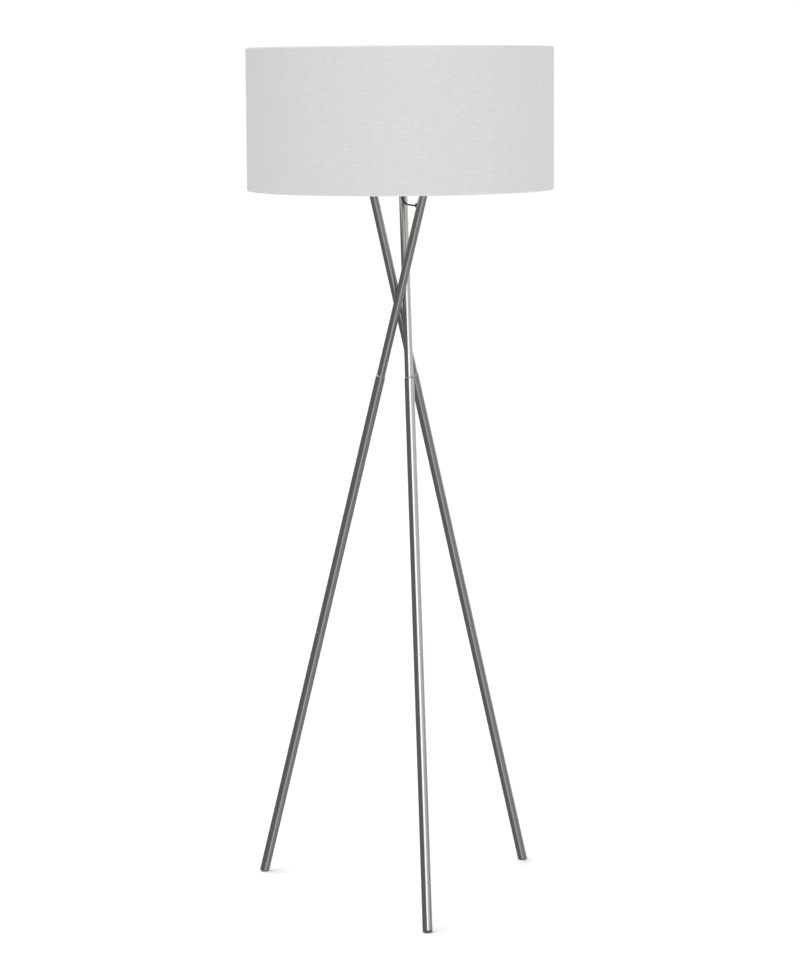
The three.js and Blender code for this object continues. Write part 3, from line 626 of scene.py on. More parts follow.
@dataclass
class Leg:
    """One leg: four tubes screwed end to end, a rubber foot and a plug under the top plate."""

    line: LegLine
    radius: float = 0.0085
    slim_radius: float = 0.0075
    thickness: float = 0.001
    cap_start: float = 0.0011
    start: float = 0.0032
    joints: tuple[float, float, float] = (0.0835, 0.474, 0.961)
    end: float = 1.315
    shoulder: float = 0.0012
    neck: float = 0.00025
    spigot: float = 0.022
    bore: float = 0.004
    thread_inset: float = 0.0005
    pitch: float = 0.0015
    thread_depth: float = 0.0007
    lip: float = 0.0003
    foot_depth: float = 0.016
    groove: float = 0.0006
    plug_depth: float = 0.024
    plate_underside: float = 1.276
    drills: list[tuple[Vector, Vector, float]] = field(default_factory=list)

    def along(self, steel: Metal) -> Metal:
        """A steel whose tool lines follow this leg."""
        name = f"{steel.name}_{self.line.side}"
        return replace(steel, name=name, origin=tuple(self.line.foot), turn=self.line.turn)

    def tube(self, radius: float, low: float, high: float) -> BMesh:
        """A drawn tube with its ends rounded over."""
        inner = radius - self.thickness
        bm = revolve([(inner, low), (radius, low), (radius, high), (inner, high)])
        return moved(round_edges(bm, self.lip, 3), self.line.matrix)

    def joiner(self, at: float, upper: float) -> BMesh:
        """A threaded joiner: a spigot in each tube and a shoulder that shows in the groove."""
        low, high = at - self.shoulder / 2, at + self.shoulder / 2
        below, above = self.radius - self.thickness - GAP, upper - self.thickness - GAP
        start, end, rings = low - self.spigot, high + self.spigot, 44
        outline = [(self.bore, start), *wall(below, start, low, rings), (self.radius - self.neck, low)]
        outline += [(upper - self.neck, high), *wall(above, high, end, rings), (self.bore, end)]
        thread = (above - self.thread_inset, self.pitch, self.thread_depth)
        bm = cut_thread(revolve(outline, 48), *thread, start, low - 2 * self.pitch)
        return moved(cut_thread(bm, *thread, high + 2 * self.pitch, end), self.line.matrix)

    def sole(self) -> BMesh:
        """The rubber foot: a plug in the tube and a square cap, worn level where it stands."""
        edge, low, rim = self.radius, self.cap_start, self.start - GAP
        plug, top, soft = edge - self.thickness - GAP, rim + self.foot_depth, self.lip
        groove = low + self.groove
        outline = [(0.0, low), (edge * 0.25, low), (edge * 0.29, groove), (edge * 0.38, groove)]
        outline += [(edge * 0.42, low), (edge - soft, low), (edge, low + soft), (edge, rim - soft)]
        outline += [(edge - soft, rim), (plug, rim), (plug, top - soft), (plug - soft, top), (0.0, top)]
        return cut_level(moved(revolve(outline), self.line.matrix), 0.0, keep_above=True)

    def plug(self) -> BMesh:
        """The plug in the leg's upper end, cut level under the plate."""
        spigot, shoulder, edge = self.slim_radius - self.thickness - GAP, self.end + GAP, self.slim_radius
        level_top = self.plate_underside - GAP
        low, top = shoulder - self.plug_depth, level_top / math.cos(self.line.lean) + edge
        outline = [(0.0, low), (spigot, low), (spigot, shoulder), (edge, shoulder), (edge, top), (0.0, top)]
        bm = moved(revolve(outline), self.line.matrix)
        return round_edges(cut_level(bm, level_top, keep_above=False), self.lip)

    def build(self) -> None:
        """Makes all of the leg's pieces."""
        lower, middle, upper = self.joints
        half = self.shoulder / 2 + GAP
        side = self.line.side
        inwards = self.line.matrix.inverted()
        for part, radius, low, high in (
            ("foot_tube", self.radius, self.start, lower - half),
            ("lower_tube", self.radius, lower + half, middle - half),
            ("middle_tube", self.radius, middle + half, upper - half),
            ("top_tube", self.slim_radius, upper + half, self.end),
        ):
            here = [drill for drill in self.drills if low < (inwards @ drill[0]).z < high]
            tube = self.tube(radius, low, high)
            tube = combine(tube, [bar(*drill) for drill in here]) if here else tube
            add_piece(f"{side}_{part}", tube, self.along(BRUSHED), f"leg_{side}_{part}")
        for part, at, above in (
            ("lower_joiner", lower, self.radius),
            ("middle_joiner", middle, self.radius),
            ("upper_joiner", upper, self.slim_radius),
        ):
            add_piece(f"{side}_{part}", self.joiner(at, above), self.along(SEAM), f"leg_{side}_{part}")
        add_piece(f"{side}_foot", self.sole(), GREY_RUBBER, f"leg_{side}_rubber_foot")
        add_piece(f"{side}_plug", self.plug(), self.along(SEAM), f"leg_{side}_top_plug")


@dataclass
class WaistSpacers:
    """Collars that hold the legs apart just above the stand's waist."""

    legs: dict[str, Leg]
    rise: float = 0.021
    radius: float = 0.0035
    stud: float = 0.0017
    reach: float = 0.002
    saddle: float = 0.02
    collar_edge: float = 0.00025
    stud_edge: float = 0.0003
    pairs: tuple[tuple[str, str], ...] = (("left", "front"), ("front", "right"), ("right", "left"))

    def ends(self, pair: tuple[str, str]) -> tuple[Vector, Vector]:
        """Where a spacer's line meets its two legs' centre lines."""
        first, second = (self.legs[side].line for side in pair)
        height = first.waist_height + self.rise
        return first.at_height(height), second.at_height(height)

    def drill(self) -> None:
        """Tells each leg where the studs pass its wall."""
        for pair in self.pairs:
            ends = self.ends(pair)
            for side, end in zip(pair, ends):
                self.legs[side].drills.append((end, (ends[0] + ends[1]) / 2, self.stud + GAP))

    def build(self) -> None:
        """Makes the three spacers: a collar saddled on both tubes, with a stud into each."""
        for pair in self.pairs:
            a, b = self.ends(pair)
            leg = self.legs[pair[0]]
            saddle = (leg.slim_radius + GAP, self.saddle)
            tubes = [self.legs[side].line.round_about(end, *saddle) for side, end in zip(pair, (a, b))]
            collar = round_edges(combine(bar(a, b, self.radius, 48), tubes), self.collar_edge)
            inside = (b - a).normalized() * (leg.slim_radius - leg.thickness - self.reach)
            stud = round_edges(bar(a + inside, b - inside, self.stud), self.stud_edge)
            name = "_".join(pair)
            add_piece(f"spacer_{name}", combine(collar, [stud], Boolean.ADD), TURNED, f"waist_spacer_{name}")


@dataclass
class TopPlate:
    """The round plate on the legs, its screws, and the nipple that carries the lampholder."""

    legs: dict[str, Leg]
    underside: float = 1.276
    thickness: float = 0.004
    radius: float = 0.072
    edge: float = 0.0008
    rim: float = 0.006
    step: float = 0.0003
    screw_radius: float = 0.002
    head_radius: float = 0.0042
    head_height: float = 0.0026
    screw_length: float = 0.0153
    screw_neck: float = 0.001
    head_edge: float = 0.0005
    slot_width: float = 0.0009
    slot_depth: float = 0.003
    nipple_radius: float = 0.005
    nipple_bore: float = 0.0032
    nipple_low: float = 1.266
    nipple_high: float = 1.286
    nut_flats: float = 0.014
    nut_height: float = 0.004
    chamfer: float = 0.0008
    flex_radius: float = 0.0015
    bush_rim: float = 0.0022
    bush_nose: float = 0.002
    bush_edge: float = 0.0004

    @property
    def top(self) -> float:
        """Height of the plate's upper face."""
        return self.underside + self.thickness

    def plate(self) -> BMesh:
        """A turned disc, dished by a fine step inside its rim, with its holes drilled."""
        bore, low, top, step = self.nipple_radius + GAP, self.underside, self.top, self.step
        lip = self.radius - self.rim
        outline = [(bore, low), (self.radius, low), (self.radius, top), (lip, top)]
        bm = revolve([*outline, (lip - step, top - step), (bore, top - step)], 144)
        round_edges(bm, self.edge, 4, 60)
        holes = []
        for leg in self.legs.values():
            at = leg.line.at_height(low)
            hole = upright(low - self.edge, top + self.edge, self.screw_radius + GAP)
            holes.append(moved(hole, Matrix.Translation((at.x, at.y, 0.0))))
        return combine(bm, holes)

    def screw(self, at: Vector) -> BMesh:
        """A pan-head screw with a cross recess, its head resting on the plate."""
        seat, crown, edge = self.top + GAP, self.head_radius * 0.72, self.head_radius
        tip, top = seat - self.screw_length, seat + self.head_height
        outline = [(0.0, tip), *wall(self.screw_radius, tip, seat - self.screw_neck, 40)]
        outline += [(self.screw_radius, seat), (edge, seat), (edge, seat + self.head_height * 0.5)]
        outline += [(crown, top), (0.0, top)]
        bm = cut_thread(revolve(outline, 40), self.screw_radius * 0.6, 0.0007, 0.0004, tip, seat - 0.002)
        round_edges(bm, self.head_edge, 3, 20, above=seat + WELD)
        long, narrow, deep = crown * 1.5, self.slot_width, self.slot_depth
        slots = [block(size, (0, 0, top)) for size in ((long, narrow, deep), (narrow, long, deep))]
        return moved(combine(bm, slots), Matrix.Translation((at.x, at.y, 0.0)))

    def nut(self) -> BMesh:
        """A six-sided nut, chamfered, under the plate."""
        top = self.underside - GAP
        low, corner, cut = top - self.nut_height, self.nut_flats / math.sqrt(3), self.chamfer
        inner, outer = corner - cut, 2 * corner
        outline = [(inner, low - cut), (outer, low - cut), (outer, top + cut), (inner, top + cut)]
        outline += [(inner, top), (corner + cut, top - cut), (corner + cut, low + cut), (inner, low)]
        bore = upright(low - 0.001, top + 0.001, self.nipple_radius + GAP, 48)
        return combine(upright(low, top, corner, 6), [revolve(outline, 48), bore])

    def nipple(self) -> BMesh:
        """The threaded hollow nipple through the plate."""
        radius, bore, low, high = self.nipple_radius, self.nipple_bore, self.nipple_low, self.nipple_high
        bm = revolve([(bore, low), *wall(radius, low, high, 80), (bore, high)], 48)
        return cut_thread(bm, radius * 0.9, 0.001, 0.0005, low - 0.001, high + 0.001)

    def bush(self) -> BMesh:
        """The plastic bush that the flex leaves the nipple through."""
        top, floor = self.underside - GAP - self.nut_height - GAP, self.nipple_low - GAP
        radius, flange, bore = self.nipple_radius, self.nipple_radius + self.bush_rim, self.flex_radius + GAP
        nose = floor - self.bush_nose
        outline = [(bore, nose), (radius, nose), (flange, floor), (flange, top)]
        outline += [(radius + GAP, top), (radius + GAP, floor), (bore, floor)]
        return round_edges(revolve(outline), self.bush_edge, 3)

    def build(self) -> None:
        """Makes the plate and everything fastened to it."""
        add_piece("plate", self.plate(), RINGED, "top_plate")
        for side, leg in self.legs.items():
            at = leg.line.at_height(self.underside - GAP)
            add_piece(f"{side}_screw", self.screw(at), ZINC, f"leg_{side}_plug_screw")
        add_piece("nut", self.nut(), ZINC, "nipple_nut")
        add_piece("nipple", self.nipple(), ZINC, "entry_nipple")
        add_piece("bush", self.bush(), BLACK, "nipple_bush")


@dataclass
class Lampholder:
    """A screw lampholder: cap, threaded sleeve, ceramic insert, contacts and a turn switch."""

    plate_top: float = 1.28
    cap_radius: float = 0.02
    cap_wall: float = 0.0016
    cap_corner: float = 0.006
    cap_top: float = 1.306
    grip_rise: float = 0.0185
    grip_depth: float = 0.0004
    sleeve_radius: float = 0.0198
    sleeve_wall: float = 0.0018
    sleeve_lip: float = 0.0024
    sleeve_top: float = 1.341
    flange_radius: float = 0.025
    flange_height: float = 0.0024
    shell_radius: float = 0.0146
    shell_wall: float = 0.0006
    shell_bore: float = 0.007
    shell_low: float = 1.3145
    shell_high: float = 1.337
    entry_radius: float = 0.005
    switch_height: float = 1.2955
    switch_azimuth: float = 60.0
    switch_size: tuple[float, float, float] = (0.018, 0.016, 0.012)
    spindle_start: float = 0.003
    spindle_radius: float = 0.0016
    bore_start: float = 0.012
    bore_end: float = 0.024
    edge: float = 0.0004
    knob_radius: float = 0.0055
    knob_start: float = 0.023
    knob_length: float = 0.015
    knob_floor: float = 0.004
    bulb_low: float = 1.3172

    def on_switch(self, radius: float) -> Vector:
        """A point of the switch's axis."""
        return level(self.switch_azimuth, radius, self.switch_height)

    def switch_bore(self, start: float) -> BMesh:
        """The hole for the switch's spindle."""
        return bar(self.on_switch(start), self.on_switch(self.bore_end), self.spindle_radius + GAP)

    def cap(self) -> BMesh:
        """The domed cap, with a hole for the switch's spindle."""
        low, corner, edge = self.plate_top + GAP, self.cap_corner, self.cap_radius
        entry, inner, centre = self.entry_radius + GAP, edge - self.cap_wall, (edge - corner, low + corner)
        grip_heights = heights(low + self.grip_rise, self.cap_top - 0.001, 8)
        grip = [(edge - (self.grip_depth if i % 2 else 0.0), z) for i, z in enumerate(grip_heights)]
        outline = [(entry, low), *arc(centre, corner, -90, 0, 8), *grip, (edge, self.cap_top)]
        outline += [(inner, self.cap_top), *arc(centre, corner - self.cap_wall, 0, -90, 8)]
        bm = revolve([*outline, (entry, low + self.cap_wall)], 96)
        return combine(bm, [self.switch_bore(self.bore_start)])

    def sleeve(self) -> BMesh:
        """The sleeve, threaded outside for the shade ring, with a flange below."""
        low, top, soft = self.cap_top + GAP, self.sleeve_top, self.edge
        high, edge, radius = low + self.flange_height, self.flange_radius, self.sleeve_radius
        inner = radius - self.sleeve_wall
        lip = inner - self.sleeve_lip
        outline = [(inner, low), (edge - soft, low), (edge, low + soft), (edge, high - soft)]
        outline += [(edge - soft, high), *wall(radius, high, top - 0.001, 120), (radius - 0.001, top)]
        bm = revolve([*outline, (lip, top), (lip, top - 0.002), (inner, top - 0.002)], 96)
        return cut_thread(bm, radius - 0.0005, 0.0025, 0.0006, high + 0.0004, top - 0.0012)

    def insert(self) -> BMesh:
        """The ceramic insert that holds the contacts."""
        outer, floor = self.sleeve_radius - self.sleeve_wall - GAP, self.shell_low - GAP
        pocket, low, rim = self.shell_radius + self.shell_wall + GAP, self.cap_top + 0.0015, floor + 0.014
        outline = [(0.0, low), (outer, low), (outer, rim), (pocket, rim), (pocket, floor), (0.0, floor)]
        return round_edges(revolve(outline, 72), self.edge, 3)

    def shell(self) -> BMesh:
        """The brass screw shell, with a rolled thread."""
        low, high, inner, bore = self.shell_low, self.shell_high, self.shell_radius, self.shell_bore
        floor, outer, rings = low + self.shell_wall, inner + self.shell_wall, 54
        outline = [(bore, low), (outer, low), *wall(outer, floor, high, rings)]
        bm = revolve([*outline, *reversed(wall(inner, floor, high, rings)), (bore, floor)], 64)
        return cut_thread(bm, inner * 0.95, 0.0036, 0.0009, low + 0.001, high + 0.002)

    def centre(self) -> BMesh:
        """The sprung centre contact: a riveted base with a domed button."""
        top, base = self.bulb_low - GAP, self.shell_low
        outline = [(0.0, base), (0.0045, base), (0.0042, base + 0.0008), (0.0033, base + 0.001)]
        return round_edges(revolve([*outline, (0.003, top - 0.0004), (0.0022, top), (0.0, top)], 32), 0.00015)

    def switch_box(self) -> BMesh:
        """The switch's housing inside the cap."""
        housing = moved(block(self.switch_size, (0, 0, self.switch_height)), about_z(self.switch_azimuth))
        return combine(round_edges(housing, 2 * self.edge), [self.switch_bore(self.spindle_start)])

    def knob(self) -> BMesh:
        """The knob: a round boss that opens into a flat key with a rounded end."""
        start, end, edge = self.knob_start, self.knob_start + self.knob_length, self.knob_radius
        waist, boss = (start + end) / 2, edge * 0.75
        outline = [(0.0, start), (boss, start), (boss, waist - 0.003), (edge, waist), (edge, end - 0.001)]
        socket = upright(start - 0.001, end - self.knob_floor + GAP, self.spindle_radius + GAP)
        size, rise = (edge, 4 * edge, self.knob_length), waist + self.knob_length / 2
        flats = [block(size, (side * edge * 1.05, 0, rise)) for side in (-1, 1)]
        bm = combine(revolve([*outline, (edge - 0.001, end), (0.0, end)], 48), [socket, *flats])
        onto = Matrix.Translation((0, 0, self.switch_height)) @ about_z(self.switch_azimuth)
        return moved(round_edges(bm, self.edge), onto @ Matrix.Rotation(math.pi / 2, 4, "Y"))

    def spindle(self) -> BMesh:
        """The switch's spindle."""
        end = self.on_switch(self.knob_start + self.knob_length - self.knob_floor)
        return round_edges(bar(self.on_switch(self.spindle_start + GAP), end, self.spindle_radius), 0.0003)

    def build(self) -> None:
        """Makes the lampholder and its switch."""
        add_piece("holder_cap", self.cap(), BLACK, "lampholder_cap")
        add_piece("holder_sleeve", self.sleeve(), BLACK, "lampholder_sleeve")
        add_piece("holder_insert", self.insert(), CERAMIC, "lampholder_insert")
        add_piece("screw_shell", self.shell(), BRASS, "screw_contact")
        add_piece("centre_button", self.centre(), BRASS, "centre_contact")
        add_piece("switch_housing", self.switch_box(), BLACK, "switch_body")
        add_piece("turn_spindle", self.spindle(), ZINC, "switch_spindle", body="switch")
        add_piece("turn_knob", self.knob(), BLACK, "switch_knob", body="switch")


@dataclass
class Bulb:
    """An opal globe bulb on a screw cap."""

    low: float = 1.3172
    cap_radius: float = 0.0132
    cap_height: float = 0.024
    cap_wall: float = 0.0006
    globe_radius: float = 0.03
    length: float = 0.106
    glass: float = 0.001
    flare: float = -38.0
    base_radius: float = 0.009
    base_height: float = 0.0045

    @property
    def cap_low(self) -> float:
        """Height of the cap's lower end."""
        return self.low + self.base_height + GAP

    def contact(self) -> BMesh:
        """The black glass insulator under the cap, with its contact."""
        low, edge, top = self.low, self.base_radius, self.low + self.base_height
        outline = [(0.0, low), (0.0045, low), (0.005, low + 0.0006), (edge, low + 0.003), (edge, top)]
        return round_edges(revolve([*outline, (0.0, top)], 48), 0.0002)

    def cap(self) -> BMesh:
        """The screw cap, with its rolled thread."""
        low, high, edge = self.cap_low, self.cap_low + self.cap_height, self.cap_radius
        inner, start, floor, rings = edge - self.cap_wall, low + 0.003, low + self.cap_wall, 60
        outline = [(0.0, low), (self.base_radius, low), *wall(edge, start, high, rings)]
        outline += [*reversed(wall(inner, start, high, rings)), (self.base_radius - 0.0004, floor)]
        outline.append((0.0, floor))
        return cut_thread(revolve(outline, 72), inner * 0.97, 0.0036, 0.0009, start, high - 0.005)

    def glass_wall(self) -> BMesh:
        """The glass: a neck in the cap that flares into a round globe."""
        neck, cap_top = self.cap_radius - self.cap_wall - GAP, self.cap_low + self.cap_height
        radius, centre = self.globe_radius, self.low + self.length - self.globe_radius
        globe = arc((0, centre), radius, self.flare, 90, 28)
        flare = math.radians(self.flare)
        joint, start = Vector((*globe[0], 0.0)), Vector((neck, cap_top + 0.001, 0.0))
        reach = Vector((math.sin(flare), -math.cos(flare), 0.0)) * 0.016
        bend = interpolate_bezier(start, start + Vector((0, 0.012, 0)), joint + reach, joint, 16)
        outer = [(neck, cap_top - 0.008), *[(p.x, p.y) for p in bend[:-1]], *globe[:-1], (0.0, globe[-1][1])]
        shrink = (radius - self.glass) / radius
        inner = [
            (max(r - self.glass, 0.0), z if z < centre else centre + (z - centre) * shrink) for r, z in outer
        ]
        return revolve([*outer, *reversed(inner)], 72)

    def build(self) -> None:
        """Makes the bulb."""
        add_piece("bulb_base", self.contact(), BLACK, "bulb_contact", body="bulb")
        add_piece("bulb_screw_cap", self.cap(), ZINC, "bulb_cap", body="bulb")
        add_piece("bulb_globe", self.glass_wall(), OPAL, "bulb_glass", body="bulb")


@dataclass
class Shade:
    """The drum: linen over a stiff liner, turned round a wire ring at each rim, on a spider."""

    holder: Lampholder
    cloth: float = 0.0006
    liner: float = 0.0008
    liner_inset: float = 0.001
    wire: float = 0.0022
    ring_radius: float = 0.2654
    ring_clearance: float = 0.0007
    liner_radius: float = 0.269
    seam_azimuth: float = 97.0
    lap_degrees: float = 2.6
    lift_start: float = 357.6
    lift_run: float = 2.0
    columns: int = 480
    fitter_bore: float = 0.0203
    fitter_radius: float = 0.027
    fitter_thickness: float = 0.002
    arm_wire: float = 0.002
    arm_bend: float = 0.062
    arm_azimuths: tuple[float, float, float] = (90.0, 210.0, 330.0)
    weld_radius: float = 0.0024
    weld_rise: float = 0.0062
    clamp_radius: float = 0.0275
    clamp_height: float = 0.0065
    clamp_lip: float = 0.003
    clamp_lugs: int = 12
    lug_size: Corner = (0.0034, 0.003)
    lug_inset: float = 0.0022
    lug_rise: float = 0.00315

    def __post_init__(self) -> None:
        """Reads the drum's outer size from the frame."""
        low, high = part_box("shade_fabric")
        self.bottom, self.top = low.z, high.z
        self.radius = (high.x - low.x) / 2

    @property
    def ring_inset(self) -> float:
        """Distance of a ring's centre from the drum's rim."""
        return self.ring_clearance + GAP + self.wire

    @property
    def fitter_bottom(self) -> float:
        """Height of the spider's ring."""
        return self.holder.cap_top + 2 * GAP + self.holder.flange_height

    def hem(self, up: int) -> list[Vector]:
        """The cloth's line round a rim's wire, from the drum's wall to its tucked-in edge.

        Args:
            up: 1 for the upper rim, -1 for the lower.

        Returns:
            Points as (radius, height), on the middle of the cloth.
        """
        centre = (self.top if up > 0 else self.bottom) - up * self.ring_inset
        outside = self.radius - self.cloth / 2 - self.ring_radius
        inside = self.wire + self.cloth / 2 + 0.0001
        drop = self.ring_inset - self.cloth / 2
        points = []
        for angle in heights(0, 280, 22):
            turn = math.radians(angle)
            side = outside if math.cos(turn) > 0 and turn < math.pi else inside
            height = centre + up * drop * math.sin(turn)
            points.append(Vector((self.ring_radius + side * math.cos(turn), height)))
        return points

    def section(self) -> list[Vector]:
        """The cloth's whole line, from the edge in the lower rim to the edge in the upper."""
        lower, upper = self.hem(-1), self.hem(1)
        side = [Vector(corner) for corner in wall(self.radius - self.cloth / 2, lower[0].y, upper[0].y, 26)]
        return [*reversed(lower[1:]), *side, *upper[1:]]

    def fabric(self) -> BMesh:
        """The cloth, wrapped once round and glued over itself at the back."""
        line = self.section()
        normals = [Vector((heading.y, -heading.x)) for heading in headings_of(line)]
        lengths = [length_of(line[: i + 1]) for i in range(len(line))]
        rows = len(line) - 1
        bm = bmesh.new()
        bmesh.ops.create_grid(bm, x_segments=self.columns, y_segments=rows, size=0.5, calc_uvs=True)
        wrap = math.radians(360 + self.lap_degrees)
        lift_start, lift_run = math.radians(self.lift_start), math.radians(self.lift_run)
        uv_layer = bm.loops.layers.uv.verify()
        for vert in bm.verts:
            row, angle = round((vert.co.y + 0.5) * rows), (vert.co.x + 0.5) * wrap
            ease = min(1.0, max(0.0, (angle - lift_start) / lift_run))
            point = line[row] + normals[row] * self.cloth * 1.1 * ease * ease * (3 - 2 * ease)
            for loop in vert.link_loops:
                loop[uv_layer].uv = (angle * self.radius, lengths[row])
            turn = math.radians(self.seam_azimuth) + angle
            vert.co = (point.x * math.cos(turn), point.x * math.sin(turn), point.y)
        made = object_from(bm, "cloth")
        made.data.uv_layers[0].name = "cloth"
        solid = made.modifiers.new("thickness", "SOLIDIFY")
        solid.thickness, solid.offset = self.cloth, 0.0
        return mesh_of(made)

    def lining(self) -> BMesh:
        """The stiff film that the cloth is glued to."""
        edge, inner = self.liner_radius, self.liner_radius - self.liner
        low, high = self.bottom + self.liner_inset, self.top - self.liner_inset
        return round_edges(revolve([(inner, low), (edge, low), (edge, high), (inner, high)], 240), 0.0002)

    def ring(self, centre: float) -> BMesh:
        """A wire ring that lies in a hem."""
        return revolve(arc((self.ring_radius, centre), self.wire, 0, 360, 16)[:-1], 240)

    def arm(self, azimuth: float) -> BMesh:
        """A spider arm: level from the fitter, bent, and sloping down to the lower ring."""
        height = self.fitter_bottom + self.fitter_thickness - self.arm_wire
        tip = self.bottom + self.ring_clearance + 2 * GAP + 2 * self.wire + self.arm_wire
        root = level(azimuth, self.holder.flange_radius + 2 * GAP, height)
        bend, end = level(azimuth, self.arm_bend, height), level(azimuth, self.ring_radius, tip)
        before, after = bend.lerp(root, 0.38), bend.lerp(end, 0.07)
        curve = interpolate_bezier(before, before.lerp(bend, 0.66), after.lerp(bend, 0.66), after, 12)
        return sweep([root, *curve, end], self.arm_wire)

    def weld(self, azimuth: float) -> BMesh:
        """The weld that joins an arm's tip to the lower ring."""
        bm = bmesh.new()
        tip = Matrix.Translation(level(azimuth, self.ring_radius, self.bottom + self.weld_rise))
        place = tip @ (about_z(azimuth) @ Matrix.Diagonal((0.9, 1.5, 0.8, 1.0)))
        bmesh.ops.create_icosphere(bm, subdivisions=3, radius=self.weld_radius, matrix=place)
        return bm

    def spider(self) -> BMesh:
        """The fitter ring, its three arms and the weld at each arm's tip."""
        low, bore, edge = self.fitter_bottom, self.fitter_bore, self.fitter_radius
        high = low + self.fitter_thickness
        eye = round_edges(revolve([(bore, low), (edge, low), (edge, high), (bore, high)], 96), 0.0004)
        parts = [make(azimuth) for make in (self.arm, self.weld) for azimuth in self.arm_azimuths]
        return combine(eye, parts, Boolean.ADD)

    def clamp(self) -> BMesh:
        """The ring that screws down on the spider, with finger lugs round it."""
        low, edge = self.fitter_bottom + self.fitter_thickness + GAP, self.clamp_radius
        high, bore, waist = low + self.clamp_height, self.holder.sleeve_radius + GAP, edge - self.clamp_lip
        outline = [(bore, low), (edge, low), (edge, low + 0.002), (waist, low + 0.003), (waist, high)]
        lugs = []
        for i in range(self.clamp_lugs):
            size = (*self.lug_size, self.clamp_height - 0.001)
            lug = block(size, (edge - self.lug_inset, 0, low + self.lug_rise))
            lugs.append(moved(round_edges(lug, 0.0005, 3), about_z(360 * i / self.clamp_lugs)))
        return combine(revolve([*outline, (bore, high)], 96), lugs, Boolean.ADD)

    def build(self) -> None:
        """Makes the shade and the ring that clamps it."""
        cloth = add_piece("drum_linen", self.fabric(), LINEN, "shade_fabric", body="shade")
        inset = self.ring_inset
        top_ring, bottom_ring = self.ring(self.top - inset), self.ring(self.bottom + inset)
        add_piece("drum_film", self.lining(), FILM, "shade_liner", body="shade")
        add_piece("upper_ring", top_ring, POWDER, "shade_top_ring", body="shade")
        add_piece("lower_ring", bottom_ring, POWDER, "shade_bottom_ring", body="shade")
        add_piece("spider", self.spider(), POWDER, "shade_spider", body="shade")
        add_piece("clamp_ring", self.clamp(), BLACK, "shade_ring", body="shade_clamp")


@dataclass
class Wiring:
    """The flex from the switch to the left leg's foot, its grommet and the outlet bush."""

    leg: Leg
    holder: Lampholder
    radius: float = 0.0015
    hole_height: float = 1.2325
    nipple_low: float = 1.266
    collar_radius: float = 0.0042
    collar_depth: float = 0.0026
    neck_radius: float = 0.003
    bore: float = 0.0021
    outlet_at: float = 0.04
    outlet_azimuth: float = 75.0
    outlet_radius: float = 0.0046
    outlet_bore: float = 0.0026
    outlet_depth: float = 0.003
    outlet_rim: float = 0.0014
    tube_reach: float = 0.0126

    @property
    def hole(self) -> Vector:
        """Where the flex crosses the leg's centre line."""
        return self.leg.line.at_height(self.hole_height)

    @property
    def inwards(self) -> Vector:
        """Level direction from the leg's hole to the lamp's axis."""
        return Vector((-self.hole.x, -self.hole.y, 0.0)).normalized()

    @property
    def outlet_ends(self) -> tuple[Vector, Vector]:
        """The outlet's line, from the middle of the leg outwards."""
        centre = self.leg.line.point(self.outlet_at)
        return centre, centre + level(self.outlet_azimuth, self.leg.radius + self.outlet_depth)

    def beside(self, distance: float) -> Vector:
        """A point of the hole's axis at a distance from the leg's outer wall."""
        return self.hole + self.inwards * (self.leg.slim_radius + distance)

    def drill(self) -> None:
        """Tells the leg where the flex goes in and out."""
        self.leg.drills.append((self.hole, self.beside(self.collar_depth), self.neck_radius + GAP))
        self.leg.drills.append((*self.outlet_ends, self.outlet_radius + GAP))

    def loop_route(self) -> list[Vector]:
        """The centre line of the stretch from the switch to just inside the leg."""
        line = self.leg.line
        turn = self.hole_height / math.cos(line.lean)
        inside = ((0.0021, 0.0001), (0.0072, -0.002), (0.014, -0.0012), (0.022, 0.0), (0.03, 0.0))
        return smooth_route([
            *[UP * height for height in (self.holder.switch_height - 0.0065, 1.278, self.nipple_low, 1.258)],
            Vector((0.0014, -0.0012, 1.25)),
            Vector((0.0046, -0.0038, 1.2415)),
            Vector((0.01, -0.0084, 1.2348)),
            *[self.beside(distance) for distance in (0.009, 0.003, -0.0025)],
            *[line.point(turn - down) + self.inwards * aside for down, aside in inside],
        ])

    def inner_run(self) -> BMesh:
        """The straight stretch down inside the leg."""
        start = self.hole_height / math.cos(self.leg.line.lean) - 0.0303
        distances = heights(start, self.outlet_at + 0.008, 24)
        return sweep([self.leg.line.point(along) for along in distances], self.radius)

    def grommet(self) -> BMesh:
        """The rubber grommet: a collar outside the tube, a neck and a collar inside."""
        tube = self.leg.line.round_about(self.hole, self.leg.slim_radius + GAP, self.tube_reach)
        collar = bar(self.beside(-0.004), self.beside(self.collar_depth), self.collar_radius, 40)
        outside = combine(collar, [tube])
        neck = bar(self.beside(-0.0029), self.beside(0.001), self.neck_radius, 40)
        body = combine(round_edges(outside, 0.0006, 3), [neck], Boolean.ADD)
        return combine(body, [bar(self.hole, self.beside(0.0036), self.bore, 32)])

    def outlet(self) -> BMesh:
        """The rubber bush where the mains lead leaves the foot tube."""
        centre, end = self.outlet_ends
        out = level(self.outlet_azimuth)
        tube = self.leg.line.round_about(centre, self.leg.radius + GAP, 0.016)
        flange = combine(bar(centre, end, self.outlet_radius + self.outlet_rim, 48), [tube])
        inside = centre + out * (self.leg.radius - self.leg.thickness - 0.0015)
        plug = bar(inside, end, self.outlet_radius, 48)
        body = combine(round_edges(flange, 0.0005, 3), [plug], Boolean.ADD)
        return combine(body, [bar(centre, end + out * 0.001, self.outlet_bore, 32)])

    def build(self) -> None:
        """Makes the flex and what it passes through."""
        route = self.loop_route()
        loop = add_piece("flex_upper", sweep(route, self.radius), SHEATH, "flex_loop")
        add_piece("flex_lower", self.inner_run(), SHEATH, "flex_in_leg")
        add_piece("leg_grommet", self.grommet(), RUBBER, "flex_grommet")
        add_piece("outlet_bush", self.outlet(), RUBBER, "mains_outlet_bush")


# -------------------------------------------------------------------- studio


